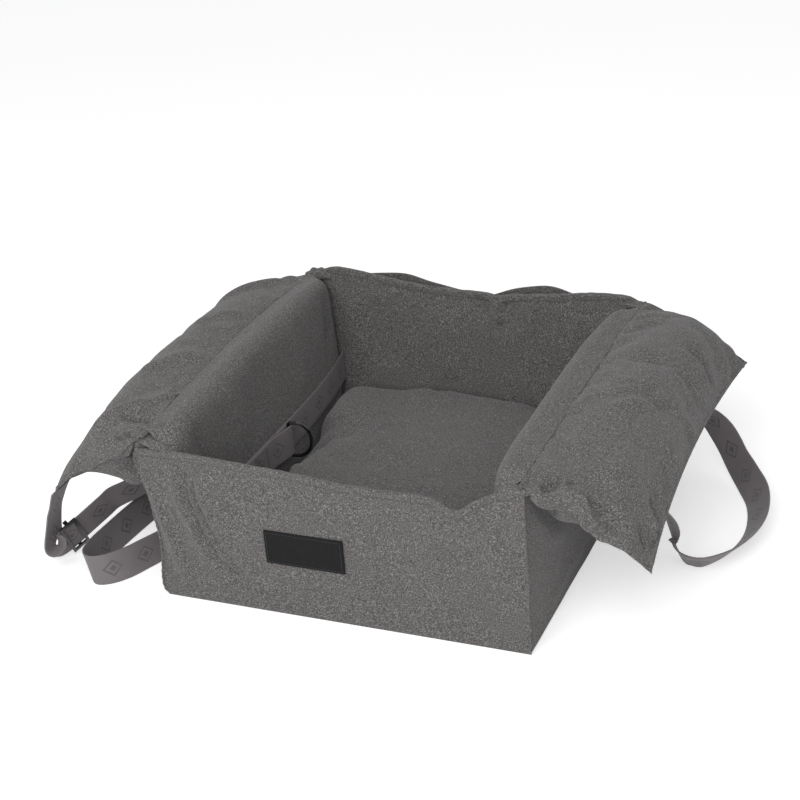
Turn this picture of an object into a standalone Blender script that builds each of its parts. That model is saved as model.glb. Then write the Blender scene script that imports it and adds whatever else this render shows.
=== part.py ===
"""Dog car seat: a soft box with a bed cushion, two side bolsters and two side wings.

Metres, +Z up. +X runs along the front wall to the right and +Y runs to the back.
The origin is the centre of the underside of the floor, on the seat it stands on.
"""
import math

import bmesh
import bpy
from mathutils import Matrix, Vector

# The box: outside sizes of the four upright walls.
BOX_WIDTH = 0.450
BOX_DEPTH = 0.475
SIDE_HEIGHT = 0.205
FRONT_HEIGHT = 0.196
FRONT_SAG = 0.019
BACK_HEIGHT = 0.222
BACK_SAG = 0.017
BACK_CORNER_DROP = 0.022

# Thickness of each layer.
FRONT_WALL_THICKNESS = 0.008
BACK_WALL_THICKNESS = 0.014
SIDE_COVER_THICKNESS = 0.004
SIDE_FOAM_THICKNESS = 0.012
SIDE_FOAM_SETBACK = 0.005
BOTTOM_COVER_THICKNESS = 0.003
BASE_BOARD_THICKNESS = 0.005
BASE_BOARD_INSET = 0.010
PANEL_EDGE_ROUNDING = 0.001

# Sewn edges.
HEM_HEIGHT = 0.009
HEM_THICKNESS = 0.006
CREST_SEAM_RADIUS = 0.003
CORNER_SEAM_RADIUS = 0.0015
CORNER_SEAM_HEIGHT = 0.180
CORNER_SEAM_START = 0.004

# The gap between pieces that touch, the wider gap round a turning piece,
# and the slack that a soft piece has against its neighbour.
CLEARANCE = 0.0003
TURNING_GAP = 0.0005
SOFT_GAP = 0.001

# Side bolsters, inside the box, and wings, which hang outside it.
BOLSTER_THICKNESS = 0.033
BOLSTER_RIM_HALF = 0.001
WING_REACH = 0.350
WING_TIP_HEIGHT = 0.124
WING_LENGTH = 0.485
WING_HALF_THICKNESS = 0.028
WING_RIM_HALF = 0.001
WING_MID_ARCH = 0.022
WING_END_ARCH = 0.006
WING_RIM_DRAW = 0.014
WING_END_DRAW = 0.005

# Bed cushion.
CUSHION_RIM_HEIGHT = 0.027
CUSHION_RIM_HALF = 0.0015
CUSHION_CROWN = 0.040
CUSHION_SIDE_DRAW = 0.006

# Slack pocket on the back, sewn into two bays.
POCKET_SIDE_INSET = 0.025
POCKET_SEAM_X = 0.020
POCKET_BOTTOM = 0.030
POCKET_TOP = 0.200
POCKET_TOP_RISE = 0.009
POCKET_BOW = 0.024
POCKET_CLOTH = 0.0025

# Label patch on the front wall.
LABEL_WIDTH = 0.096
LABEL_HEIGHT = 0.042
LABEL_THICKNESS = 0.002
LABEL_CENTRE_X = -0.035
LABEL_CENTRE_Z = 0.0885
LABEL_ROUNDING = 0.0006

# Webbing, the tether and its D-ring.
WEBBING_WIDTH = 0.040
WEBBING_THICKNESS = 0.0018
TETHER_CENTRE_Z = 0.086
RING_WIRE_RADIUS = 0.0022
RING_REACH = 0.028
RING_ARM = 0.010
RING_SIDE_GAP = 0.0005
RING_BAR_Y = 0.006
RING_REST_TURN = math.radians(10)
KEEPER_LENGTH = 0.140
KEEPER_TAIL = 0.025
KEEPER_SETTLE = 0.045

# Slider on the wing strap.
SLIDER_LENGTH = 0.024
SLIDER_BAR = 0.004
SLIDER_RAIL = 0.004
SLIDER_PLATE = 0.0022
SLIDER_STRAP_GAP = 0.0008
SLIDER_ROUNDING = 0.0005
SLIDER_CENTRE_BAR = 0.005

# Counts.
BOLSTER_RINGS = 16
WING_CUTS_LONG = 19
WING_CUTS_WIDE = 11
CUSHION_CUTS = 15
POCKET_COLUMNS = 24
POCKET_ROWS = 8
OUTLINE_STEPS = 24
ROUTE_STEPS = 3
RING_ARC_STEPS = 14
WRAP_STEPS = 6

# Angles above which an edge is drawn sharp.
SHARP_ANGLE = math.radians(30)
SOFT_ANGLE = math.radians(60)

# How a filled pillow falls away to its edges: powers of the share from its middle.
PILLOW_FLAT_POWER = 3
PILLOW_ROUND_POWER = 0.6
WING_BULGE_POWER = 0.7
CUSHION_BASE_POWER = 0.5
BOLSTER_PINCH_POWER = 3

# How the slack edges and the pocket's cloth hang.
FRONT_SAG_POWER = 1.5
BACK_SAG_POWER = 2
BACK_CORNER_SHARE = 0.85
POCKET_BOW_POWER = 0.8

# Where the keeper's plies are drawn, as shares of their lengths.
KEEPER_TAIL_SHARES = (1, 0.66, 0.33)
KEEPER_PLY_SHARES = (0.2, 0.4, 0.6, 0.8, 1)

# Places that follow from the sizes above.
HALF_WIDTH = BOX_WIDTH / 2
HALF_DEPTH = BOX_DEPTH / 2
BED_FRONT_Y = FRONT_WALL_THICKNESS - HALF_DEPTH
BED_BACK_Y = HALF_DEPTH - BACK_WALL_THICKNESS
FLOOR_TOP = BOTTOM_COVER_THICKNESS + CLEARANCE + BASE_BOARD_THICKNESS
COVER_INNER_X = HALF_WIDTH - SIDE_COVER_THICKNESS
FOAM_OUTER_X = COVER_INNER_X - CLEARANCE
FOAM_INNER_X = FOAM_OUTER_X - SIDE_FOAM_THICKNESS
FOAM_TOP = SIDE_HEIGHT - SIDE_FOAM_SETBACK
BOLSTER_OUTER_X = FOAM_INNER_X - CLEARANCE
BOLSTER_BOTTOM = FLOOR_TOP + CLEARANCE
CREST_X = HALF_WIDTH - SIDE_COVER_THICKNESS / 2
CREST_Z = SIDE_HEIGHT + CLEARANCE + CREST_SEAM_RADIUS
CREST_REACH = CREST_SEAM_RADIUS + TURNING_GAP
BOLSTER_MID_Y = (BED_FRONT_Y + BED_BACK_Y) / 2
BOLSTER_HALF_LENGTH = (BED_BACK_Y - BED_FRONT_Y) / 2 - TURNING_GAP

# Bolster section: shares of its thickness, inwards, and of its height up to the crest.
BOLSTER_SECTION_SHARES = (
    (0.06, 1.020),
    (0.24, 1.036),
    (0.44, 1.044),
    (0.62, 1.040),
    (0.76, 1.022),
    (0.87, 0.990),
    (0.93, 0.935),
    (0.955, 0.860),
    (0.965, 0.740),
    (0.98, 0.610),
    (0.995, 0.433),
    (1.00, 0.256),
    (0.99, 0.130),
    (0.95, 0.060),
    (0.86, 0.018),
    (0.70, 0.000),
    (0.24, 0.000),
    (0.06, 0.015),
    (0.00, 0.060),
    (0.00, 0.450),
    (0.00, 0.880),
)
BOLSTER_END_PINCH_SHARE = 0.75

# A cylinder's first corner is a quarter turn on, and the section's first point goes there.
QUARTER_TURN_SHARE = 0.25

# Free webbing: centre of the band (x, y, z) and the way its width points, from end to end.
BELT_LOOP_ROUTE = (
    ((-0.2256, 0.0000, 0.0205), (0.00, 0.00, 1.00)),
    ((-0.2420, 0.0000, 0.0205), (0.00, 0.00, 1.00)),
    ((-0.2720, -0.0050, 0.0205), (-0.06, 0.00, 1.00)),
    ((-0.2980, -0.0210, 0.0205), (-0.12, 0.00, 0.99)),
    ((-0.3160, -0.0500, 0.0205), (-0.18, 0.00, 0.98)),
    ((-0.3245, -0.0880, 0.0205), (-0.20, 0.00, 0.98)),
    ((-0.3285, -0.1280, 0.0205), (-0.22, 0.00, 0.97)),
    ((-0.3305, -0.1680, 0.0205), (-0.22, 0.00, 0.97)),
    ((-0.3315, -0.2060, 0.0205), (-0.22, 0.00, 0.97)),
    ((-0.3275, -0.2320, 0.0205), (-0.20, -0.03, 0.97)),
    ((-0.3150, -0.2425, 0.0205), (-0.14, -0.06, 0.98)),
    ((-0.2985, -0.2360, 0.0205), (-0.10, -0.04, 0.98)),
    ((-0.2830, -0.2160, 0.0205), (-0.10, 0.04, 0.99)),
    ((-0.2705, -0.1880, 0.0205), (-0.08, 0.04, 0.99)),
    ((-0.2580, -0.1620, 0.0205), (-0.04, 0.02, 1.00)),
    ((-0.2420, -0.1500, 0.0205), (0.00, 0.00, 1.00)),
    ((-0.2256, -0.1500, 0.0205), (0.00, 0.00, 1.00)),
)
WING_STRAP_ROUTE = (
    ((-0.2256, -0.0980, 0.1150), (0.00, -0.55, 0.83)),
    ((-0.2400, -0.0980, 0.1150), (0.00, -0.52, 0.84)),
    ((-0.2700, -0.1060, 0.1040), (0.10, -0.48, 0.86)),
    ((-0.2980, -0.1180, 0.0880), (0.10, -0.46, 0.87)),
    ((-0.3200, -0.1310, 0.0735), (0.05, -0.46, 0.87)),
    ((-0.3372, -0.1436, 0.0608), (0.03, -0.45, 0.88)),
    ((-0.3443, -0.1547, 0.0547), (0.03, -0.45, 0.88)),
    ((-0.3516, -0.1664, 0.0484), (0.03, -0.45, 0.88)),
    ((-0.3589, -0.1781, 0.0421), (0.03, -0.45, 0.88)),
    ((-0.3690, -0.1943, 0.0334), (0.03, -0.45, 0.88)),
    ((-0.3755, -0.2047, 0.0278), (0.03, -0.45, 0.88)),
    ((-0.3802, -0.2128, 0.0252), (0.06, -0.60, 0.78)),
    ((-0.3822, -0.2168, 0.0306), (0.08, -0.78, 0.60)),
    ((-0.3808, -0.2180, 0.0425), (0.10, -0.90, 0.40)),
    ((-0.3745, -0.2175, 0.0600), (0.08, -0.96, 0.22)),
    ((-0.3680, -0.2185, 0.0800), (0.04, -0.99, 0.10)),
    ((-0.3610, -0.2200, 0.0985), (0.00, -1.00, 0.02)),
    ((-0.3560, -0.2210, 0.1140), (-0.06, -1.00, -0.03)),
    ((-0.3522, -0.2218, 0.1226), (-0.09, -0.99, -0.06)),
    ((-0.3487, -0.2222, 0.1249), (-0.09, -0.99, -0.06)),
)
RIGHT_LOOP_ROUTE = (
    ((0.2256, 0.1720, 0.1240), (0.00, -1.00, 0.10)),
    ((0.2400, 0.1720, 0.1240), (0.00, -0.95, 0.25)),
    ((0.2680, 0.1800, 0.1130), (0.10, -0.80, 0.50)),
    ((0.2950, 0.1930, 0.0960), (0.25, -0.60, 0.70)),
    ((0.3180, 0.2040, 0.0740), (0.35, -0.40, 0.82)),
    ((0.3340, 0.2070, 0.0480), (0.48, -0.15, 0.85)),
    ((0.3500, 0.1950, 0.0270), (0.56, -0.02, 0.80)),
    ((0.3690, 0.1680, 0.0192), (0.58, 0.05, 0.78)),
    ((0.3870, 0.1350, 0.0170), (0.60, 0.06, 0.77)),
    ((0.3970, 0.0980, 0.0166), (0.62, 0.05, 0.76)),
    ((0.4000, 0.0600, 0.0163), (0.64, -0.02, 0.74)),
    ((0.3940, 0.0240, 0.0159), (0.64, -0.20, 0.72)),
    ((0.3800, -0.0080, 0.0156), (0.52, -0.46, 0.70)),
    ((0.3590, -0.0300, 0.0157), (0.22, -0.66, 0.70)),
    ((0.3380, -0.0270, 0.0170), (0.02, -0.70, 0.70)),
    ((0.3240, -0.0100, 0.0215), (0.10, -0.72, 0.67)),
    ((0.3190, -0.0055, 0.0370), (0.32, -0.74, 0.58)),
    ((0.3200, -0.0160, 0.0580), (0.40, -0.78, 0.45)),
    ((0.3180, -0.0320, 0.0800), (0.32, -0.85, 0.35)),
    ((0.3020, -0.0450, 0.1000), (0.15, -0.95, 0.20)),
    ((0.2780, -0.0520, 0.1150), (0.05, -1.00, 0.10)),
    ((0.2420, -0.0550, 0.1250), (0.00, -1.00, 0.00)),
    ((0.2256, -0.0550, 0.1250), (0.00, -1.00, 0.00)),
)
SLIDER_ROUTE_POINT = 9


def make_collection(name):
    """Return a new collection in the scene."""
    collection = bpy.data.collections.new(name)
    bpy.context.scene.collection.children.link(collection)
    return collection


def make_material(name, colour, roughness, metallic):
    """Return a Principled material."""
    material = bpy.data.materials.new(name)
    material.use_nodes = True
    shader = material.node_tree.nodes["Principled BSDF"]
    shader.inputs["Base Color"].default_value = (*colour, 1)
    shader.inputs["Roughness"].default_value = roughness
    shader.inputs["Metallic"].default_value = metallic
    material.diffuse_color = (*colour, 1)
    return material


def add_object(name, data, material):
    """Link a mesh or a curve into the part as one named piece."""
    piece = bpy.data.objects.new(name, data)
    data.materials.append(material)
    part.objects.link(piece)
    return piece


def finish_mesh(name, bm, material, smooth_angle):
    """Turn a closed bmesh into a named piece, faces out, and shade it."""
    bmesh.ops.recalc_face_normals(bm, faces=bm.faces)
    if bm.calc_volume(signed=True) < 0:
        bmesh.ops.reverse_faces(bm, faces=bm.faces)
    mesh = bpy.data.meshes.new(name)
    bm.to_mesh(mesh)
    bm.free()
    mesh.shade_smooth()
    mesh.set_sharp_from_angle(angle=smooth_angle)
    return add_object(name, mesh, material)


def add_bevel(piece, width):
    """Round a piece's sharp edges."""
    bevel = piece.modifiers.new("rounding", "BEVEL")
    bevel.width = width
    bevel.segments = 1
    bevel.limit_method = "ANGLE"


def add_block(name, low, high, material, rounding=0):
    """Make a rectangular piece between two corners."""
    size = Vector(high) - Vector(low)
    bm = bmesh.new()
    bmesh.ops.create_cube(bm, size=1)
    bmesh.ops.scale(bm, verts=bm.verts, vec=size)
    piece = finish_mesh(name, bm, material, SHARP_ANGLE)
    piece.location = (Vector(low) + Vector(high)) / 2
    if rounding:
        add_bevel(piece, rounding)
    return piece


def add_outline(name, points, centre_y, thickness, material):
    """Make an upright panel from its outline in X and Z, centred on one depth."""
    curve = bpy.data.curves.new(name, "CURVE")
    curve.dimensions = "2D"
    curve.fill_mode = "BOTH"
    curve.extrude = thickness / 2
    spline = curve.splines.new("POLY")
    spline.points.add(len(points) - 1)
    for target, (x, z) in zip(spline.points, points):
        target.co = (x, z, 0, 1)
    spline.use_cyclic_u = True
    piece = add_object(name, curve, material)
    piece.rotation_euler = (math.radians(90), 0, 0)
    piece.location = (0, centre_y, 0)
    return piece


def add_rod(name, start, end, radius, material):
    """Make a straight round cord between two points."""
    curve = bpy.data.curves.new(name, "CURVE")
    curve.dimensions = "3D"
    curve.bevel_depth = radius
    curve.bevel_resolution = 1
    curve.use_fill_caps = True
    spline = curve.splines.new("POLY")
    spline.points.add(1)
    reach = Vector(end) - Vector(start)
    spline.points[0].co = (0, 0, 0, 1)
    spline.points[1].co = (*reach, 1)
    piece = add_object(name, curve, material)
    piece.location = start
    return piece


def grid_block(cuts_long, cuts_wide):
    """Return a two-unit cube whose top and bottom are cut into a grid."""
    bm = bmesh.new()
    bmesh.ops.create_cube(bm, size=2)
    for axis, cuts in ((0, cuts_long), (1, cuts_wide)):
        along = []
        for edge in bm.edges:
            span = edge.verts[0].co - edge.verts[1].co
            if abs(span[axis]) == max(abs(value) for value in span):
                along.append(edge)
        bmesh.ops.subdivide_edges(bm, edges=along, cuts=cuts, use_grid_fill=True)
    return bm


def pillow_fill(share):
    """Say how full a pillow is, from 1 at its middle to 0 at its sewn edge."""
    return max(0, 1 - abs(share) ** PILLOW_FLAT_POWER) ** PILLOW_ROUND_POWER


def smooth_point(before, start, end, after, share):
    """Return a point of the Catmull-Rom curve from start to end."""
    square = share * share
    cube = square * share
    near = before * (2 * square - share - cube) + start * (2 + 3 * cube - 5 * square)
    far = end * (share + 4 * square - 3 * cube) + after * (cube - square)
    return (near + far) / 2


def route_stations(route):
    """Return the centre and width direction of a band along its route.

    The first and last legs are straight, so the ends meet what they are sewn to squarely.
    """
    centres = [Vector(row[0]) for row in route]
    widths = [Vector(row[1]).normalized() for row in route]
    last = len(route) - 1
    stations = [(centres[0], widths[0])]
    for index in range(1, last - 1):
        rows = (index - 1, index, index + 1, index + 2)
        for step in range(ROUTE_STEPS):
            share = step / ROUTE_STEPS
            centre = smooth_point(*[centres[row] for row in rows], share)
            width = smooth_point(*[widths[row] for row in rows], share)
            stations.append((centre, width))
    stations.append((centres[last - 1], widths[last - 1]))
    stations.append((centres[last], widths[last]))
    return stations


def add_band(name, stations, width, thickness, material):
    """Make flat webbing from the centre and width direction at each station."""
    count = len(stations)
    bm = bmesh.new()
    bmesh.ops.create_grid(bm, x_segments=count - 1, y_segments=1, size=1)
    for vertex in bm.verts:
        row = round((vertex.co.x + 1) / 2 * (count - 1))
        centre, across = stations[row]
        tangent = stations[min(row + 1, count - 1)][0] - stations[max(row - 1, 0)][0]
        tangent.normalize()
        across = (across - tangent * across.dot(tangent)).normalized()
        vertex.co = centre + across * (math.copysign(1, vertex.co.y) * width / 2)
    mesh = bpy.data.meshes.new(name)
    bm.to_mesh(mesh)
    bm.free()
    piece = add_object(name, mesh, material)
    solid = piece.modifiers.new("thickness", "SOLIDIFY")
    solid.thickness = thickness
    solid.offset = 0
    solid.use_even_offset = True
    return piece


def front_top(x):
    """Height of the front wall's slack top edge."""
    share = min(1, abs(x) / HALF_WIDTH)
    return FRONT_HEIGHT - FRONT_SAG * (1 - share ** 2) ** FRONT_SAG_POWER


def back_top(x):
    """Height of the back wall's top edge, which drops to the crest at its corners."""
    share = min(1, abs(x) / HALF_WIDTH)
    corner = max(0, (share - BACK_CORNER_SHARE) / (1 - BACK_CORNER_SHARE))
    drop = corner * corner * (3 - 2 * corner)
    sag = BACK_SAG * (1 - share ** 2) ** BACK_SAG_POWER
    return BACK_HEIGHT - sag - BACK_CORNER_DROP * drop


def add_wall_and_hem(name, top, outer_y, inward, thickness):
    """Make an upright end wall and the turned hem that is sewn along its top edge."""
    steps = [2 * step / OUTLINE_STEPS - 1 for step in range(OUTLINE_STEPS + 1)]
    edge = [(share * HALF_WIDTH, top(share * HALF_WIDTH)) for share in steps]
    seam = [(x, z - HEM_HEIGHT) for x, z in edge]
    bottom = BOTTOM_COVER_THICKNESS + CLEARANCE
    wall = [(x, z - CLEARANCE) for x, z in seam]
    wall += [(HALF_WIDTH, bottom), (-HALF_WIDTH, bottom)]
    centre_y = outer_y + inward * thickness / 2
    add_outline(name + "_wall", wall, centre_y, thickness, heather)
    hem = edge + list(reversed(seam))
    add_outline(name + "_hem", hem, centre_y, min(HEM_THICKNESS, thickness), heather)


def add_floor():
    """Make the bottom cover and the board that stiffens it."""
    low = (-HALF_WIDTH, -HALF_DEPTH, 0)
    high = (HALF_WIDTH, HALF_DEPTH, BOTTOM_COVER_THICKNESS)
    add_block("bottom_cover", low, high, base_cloth)
    board_bottom = BOTTOM_COVER_THICKNESS + CLEARANCE
    half_board = FOAM_INNER_X - CLEARANCE
    front = BED_FRONT_Y + BASE_BOARD_INSET
    back = BED_BACK_Y - BASE_BOARD_INSET
    low = (-half_board, front, board_bottom)
    high = (half_board, back, FLOOR_TOP)
    add_block("base_board", low, high, board, PANEL_EDGE_ROUNDING)


def add_side(side, sign):
    """Make one side's cover, its foam and the seam along its crest."""
    bottom = BOTTOM_COVER_THICKNESS + CLEARANCE
    front = BED_FRONT_Y + CLEARANCE
    back = BED_BACK_Y - CLEARANCE
    cover = sorted((sign * COVER_INNER_X, sign * HALF_WIDTH))
    low = (cover[0], front, bottom)
    high = (cover[1], back, SIDE_HEIGHT)
    add_block(side + "_side_cover", low, high, heather, PANEL_EDGE_ROUNDING)
    foam = sorted((sign * FOAM_INNER_X, sign * FOAM_OUTER_X))
    low = (foam[0], front, bottom)
    high = (foam[1], back, FOAM_TOP)
    add_block(side + "_side_foam", low, high, foam_grey, PANEL_EDGE_ROUNDING)
    start = (sign * CREST_X, front, CREST_Z)
    end = (sign * CREST_X, back, CREST_Z)
    add_rod(side + "_crest_seam", start, end, CREST_SEAM_RADIUS, heather)


def add_corner_seams():
    """Make the turned seam that stands out along each upright corner."""
    out = (CORNER_SEAM_RADIUS + CLEARANCE) / math.sqrt(2)
    for end, end_sign in (("front", -1), ("back", 1)):
        for side, sign in (("left", -1), ("right", 1)):
            x = sign * (HALF_WIDTH + out)
            y = end_sign * (HALF_DEPTH + out)
            start = (x, y, CORNER_SEAM_START)
            finish = (x, y, CORNER_SEAM_HEIGHT)
            name = end + "_" + side + "_corner_seam"
            add_rod(name, start, finish, CORNER_SEAM_RADIUS, heather)


def bolster_fill(y):
    """Say how thick a bolster is at a depth, from 1 at its middle to its pinched end."""
    share = min(1, abs(y - BOLSTER_MID_Y) / BOLSTER_HALF_LENGTH)
    return 1 - BOLSTER_END_PINCH_SHARE * share ** BOLSTER_PINCH_POWER


def bolster_section():
    """Return the bolster's section, X outwards and Z up, from its crest inwards."""
    height = CREST_Z - BOLSTER_BOTTOM
    crest_x = CREST_X - CREST_REACH
    section = [(crest_x, CREST_Z + BOLSTER_RIM_HALF)]
    for inward, up in BOLSTER_SECTION_SHARES:
        x = BOLSTER_OUTER_X - inward * BOLSTER_THICKNESS
        section.append((x, BOLSTER_BOTTOM + up * height))
    section.append((BOLSTER_OUTER_X, FOAM_TOP + SOFT_GAP / 2))
    section.append((crest_x, CREST_Z - BOLSTER_RIM_HALF))
    return section


def bolster_face(y, z):
    """Return how far out the bolster's inner face is at a depth and a height."""
    height = CREST_Z - BOLSTER_BOTTOM
    up = (z - BOLSTER_BOTTOM) / height
    inner = BOLSTER_SECTION_SHARES[4:13]
    for (far, high), (near, low) in zip(inner, inner[1:]):
        if low <= up <= high:
            share = (up - low) / (high - low)
            inward = near + (far - near) * share
            return BOLSTER_OUTER_X - inward * BOLSTER_THICKNESS * bolster_fill(y)
    return BOLSTER_OUTER_X - BOLSTER_THICKNESS * bolster_fill(y)


def add_bolster(side, sign):
    """Make one bolster: a long pillow between the end walls, pinched at both ends."""
    section = bolster_section()
    count = len(section)
    bm = bmesh.new()
    bmesh.ops.create_cone(bm, cap_ends=True, segments=count, radius1=1, radius2=1, depth=2)
    long_edges = [edge for edge in bm.edges if edge.verts[0].co.z * edge.verts[1].co.z < 0]
    bmesh.ops.subdivide_edges(bm, edges=long_edges, cuts=BOLSTER_RINGS - 1)
    for vertex in bm.verts:
        turn = math.atan2(vertex.co.y, vertex.co.x) / math.tau
        x, z = section[round((turn - QUARTER_TURN_SHARE) * count) % count]
        y = BOLSTER_MID_Y + math.sin(vertex.co.z * math.pi / 2) * BOLSTER_HALF_LENGTH
        fill = bolster_fill(y)
        if x < BOLSTER_OUTER_X:
            x = BOLSTER_OUTER_X - (BOLSTER_OUTER_X - x) * fill
            z = z if z < CREST_Z else CREST_Z + (z - CREST_Z) * fill
        vertex.co = (sign * x, y, z)
    finish_mesh(side + "_bolster", bm, heather, SOFT_ANGLE)


def add_wing(side, sign):
    """Make one wing: a pillow that hangs from the crest seam, outside the box."""
    axis = Vector((CREST_X, 0, CREST_Z))
    tip = Vector((WING_REACH, 0, WING_TIP_HEIGHT))
    chord = (tip - axis).normalized()
    up = Vector((-chord.z, 0, chord.x))
    root = axis + chord * CREST_REACH
    chord_length = (tip - root).length
    bm = grid_block(WING_CUTS_LONG, WING_CUTS_WIDE)
    for vertex in bm.verts:
        long_share = math.sin(vertex.co.x * math.pi / 2)
        wide_share = (1 + math.sin(vertex.co.y * math.pi / 2)) / 2
        face = math.copysign(1, vertex.co.z)
        fill = pillow_fill(long_share)
        bulge = max(0, math.sin(math.pi * wide_share))
        draw = WING_RIM_DRAW * (1 - long_share ** 2) * wide_share ** 2
        arch = (WING_END_ARCH + (WING_MID_ARCH - WING_END_ARCH) * fill) * bulge
        half = WING_RIM_HALF + WING_HALF_THICKNESS * fill * bulge ** WING_BULGE_POWER
        half_length = WING_LENGTH / 2 - WING_END_DRAW * bulge
        place = root + chord * (chord_length * wide_share - draw) + up * (arch + face * half)
        vertex.co = (sign * (place.x - CREST_X), long_share * half_length, place.z - CREST_Z)
    piece = finish_mesh(side + "_wing", bm, heather, SOFT_ANGLE)
    piece.location = (sign * CREST_X, 0, CREST_Z)


def add_cushion():
    """Make the crowned bed cushion, which fills the floor between the bolsters."""
    front = BED_FRONT_Y + SOFT_GAP
    back = BED_BACK_Y - SOFT_GAP
    rim_z = FLOOR_TOP + CUSHION_RIM_HEIGHT
    bottom_z = FLOOR_TOP + CLEARANCE
    half_narrow = BOLSTER_OUTER_X - BOLSTER_THICKNESS - SOFT_GAP
    half_length = (back - front) / 2
    bm = grid_block(CUSHION_CUTS, CUSHION_CUTS)
    for vertex in bm.verts:
        wide = math.sin(vertex.co.x * math.pi / 2)
        deep = math.sin(vertex.co.y * math.pi / 2)
        face = math.copysign(1, vertex.co.z)
        y = (front + back) / 2 + deep * (half_length - CUSHION_SIDE_DRAW * (1 - wide ** 2))
        fill = pillow_fill(wide) * pillow_fill(deep)
        if face > 0:
            z = rim_z + CUSHION_RIM_HALF + CUSHION_CROWN * fill
        else:
            under = rim_z - CUSHION_RIM_HALF
            z = under - (under - bottom_z) * fill ** CUSHION_BASE_POWER
        vertex.co = (wide * half_narrow, y, z)
    finish_mesh("base_cushion", bm, heather, SOFT_ANGLE)


def add_back_pocket():
    """Make the slack cloth pocket on the back: two bays between three upright seams."""
    right = HALF_WIDTH - POCKET_SIDE_INSET
    left = -right
    flush_y = HALF_DEPTH + CLEARANCE + POCKET_CLOTH / 2
    bm = bmesh.new()
    bmesh.ops.create_grid(bm, x_segments=POCKET_COLUMNS, y_segments=POCKET_ROWS, size=1)
    for vertex in bm.verts:
        x = vertex.co.x * right
        up = (vertex.co.y + 1) / 2
        if x < POCKET_SEAM_X:
            bay = (x - left) / (POCKET_SEAM_X - left)
        else:
            bay = (right - x) / (right - POCKET_SEAM_X)
        bow = math.sin(math.pi * bay) ** 2
        top = POCKET_TOP + POCKET_TOP_RISE * bow
        y = flush_y + POCKET_BOW * bow * math.sin(math.pi / 2 * up) ** POCKET_BOW_POWER
        vertex.co = (x, y, POCKET_BOTTOM + up * (top - POCKET_BOTTOM))
    mesh = bpy.data.meshes.new("back_pocket")
    bm.to_mesh(mesh)
    bm.free()
    piece = add_object("back_pocket", mesh, heather)
    solid = piece.modifiers.new("cloth", "SOLIDIFY")
    solid.thickness = POCKET_CLOTH
    solid.offset = 0


def add_label():
    """Make the bare label patch, sewn flat on the front wall."""
    front = -HALF_DEPTH - CLEARANCE - LABEL_THICKNESS
    low = (LABEL_CENTRE_X - LABEL_WIDTH / 2, front, LABEL_CENTRE_Z - LABEL_HEIGHT / 2)
    high_y = front + LABEL_THICKNESS
    high = (LABEL_CENTRE_X + LABEL_WIDTH / 2, high_y, LABEL_CENTRE_Z + LABEL_HEIGHT / 2)
    add_block("label_patch", low, high, rubber, LABEL_ROUNDING)


def tether_place(y, lift):
    """Return a point on the left bolster's inner face, lifted off it, and the face's lean."""
    low_z = TETHER_CENTRE_Z - WEBBING_WIDTH / 2
    high_z = TETHER_CENTRE_Z + WEBBING_WIDTH / 2
    low = Vector((-bolster_face(y, low_z), y, low_z))
    high = Vector((-bolster_face(y, high_z), y, high_z))
    lean = (high - low).normalized()
    outward = Vector((lean.z, 0, -lean.x))
    return (low + high) / 2 + outward * lift, lean


def add_tether():
    """Make the tether webbing on the left bolster, its folded ring keeper and the D-ring."""
    strap_lift = TURNING_GAP + WEBBING_THICKNESS / 2
    front = BED_FRONT_Y + TURNING_GAP
    back = BED_BACK_Y - TURNING_GAP
    stations = []
    for step in range(OUTLINE_STEPS + 1):
        share = math.sin((step / OUTLINE_STEPS - 0.5) * math.pi) / 2 + 0.5
        stations.append(tether_place(front + (back - front) * share, strap_lift))
    add_band("tether_strap", stations, WEBBING_WIDTH, WEBBING_THICKNESS, webbing)

    ply_pitch = WEBBING_THICKNESS + CLEARANCE
    tail_lift = strap_lift + ply_pitch
    wrap_radius = RING_WIRE_RADIUS + CLEARANCE + WEBBING_THICKNESS / 2
    bar_lift = tail_lift + wrap_radius
    folded = [(-KEEPER_TAIL * share, tail_lift) for share in KEEPER_TAIL_SHARES]
    for step in range(WRAP_STEPS + 1):
        turn = math.pi * step / WRAP_STEPS
        back = wrap_radius * math.sin(turn)
        folded.append((back, bar_lift - wrap_radius * math.cos(turn)))
    drop = wrap_radius * 2
    for share in KEEPER_PLY_SHARES:
        ease = share * share * (3 - 2 * share)
        folded.append((-KEEPER_SETTLE * share, tail_lift + drop * (1 - ease)))
    for share in KEEPER_PLY_SHARES:
        forward = KEEPER_SETTLE + (KEEPER_LENGTH - KEEPER_SETTLE) * share
        folded.append((-forward, tail_lift))
    stations = [tether_place(RING_BAR_Y + back, lift) for back, lift in folded]
    add_band("ring_keeper", stations, WEBBING_WIDTH, WEBBING_THICKNESS, webbing)
    add_ring(bar_lift)


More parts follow.
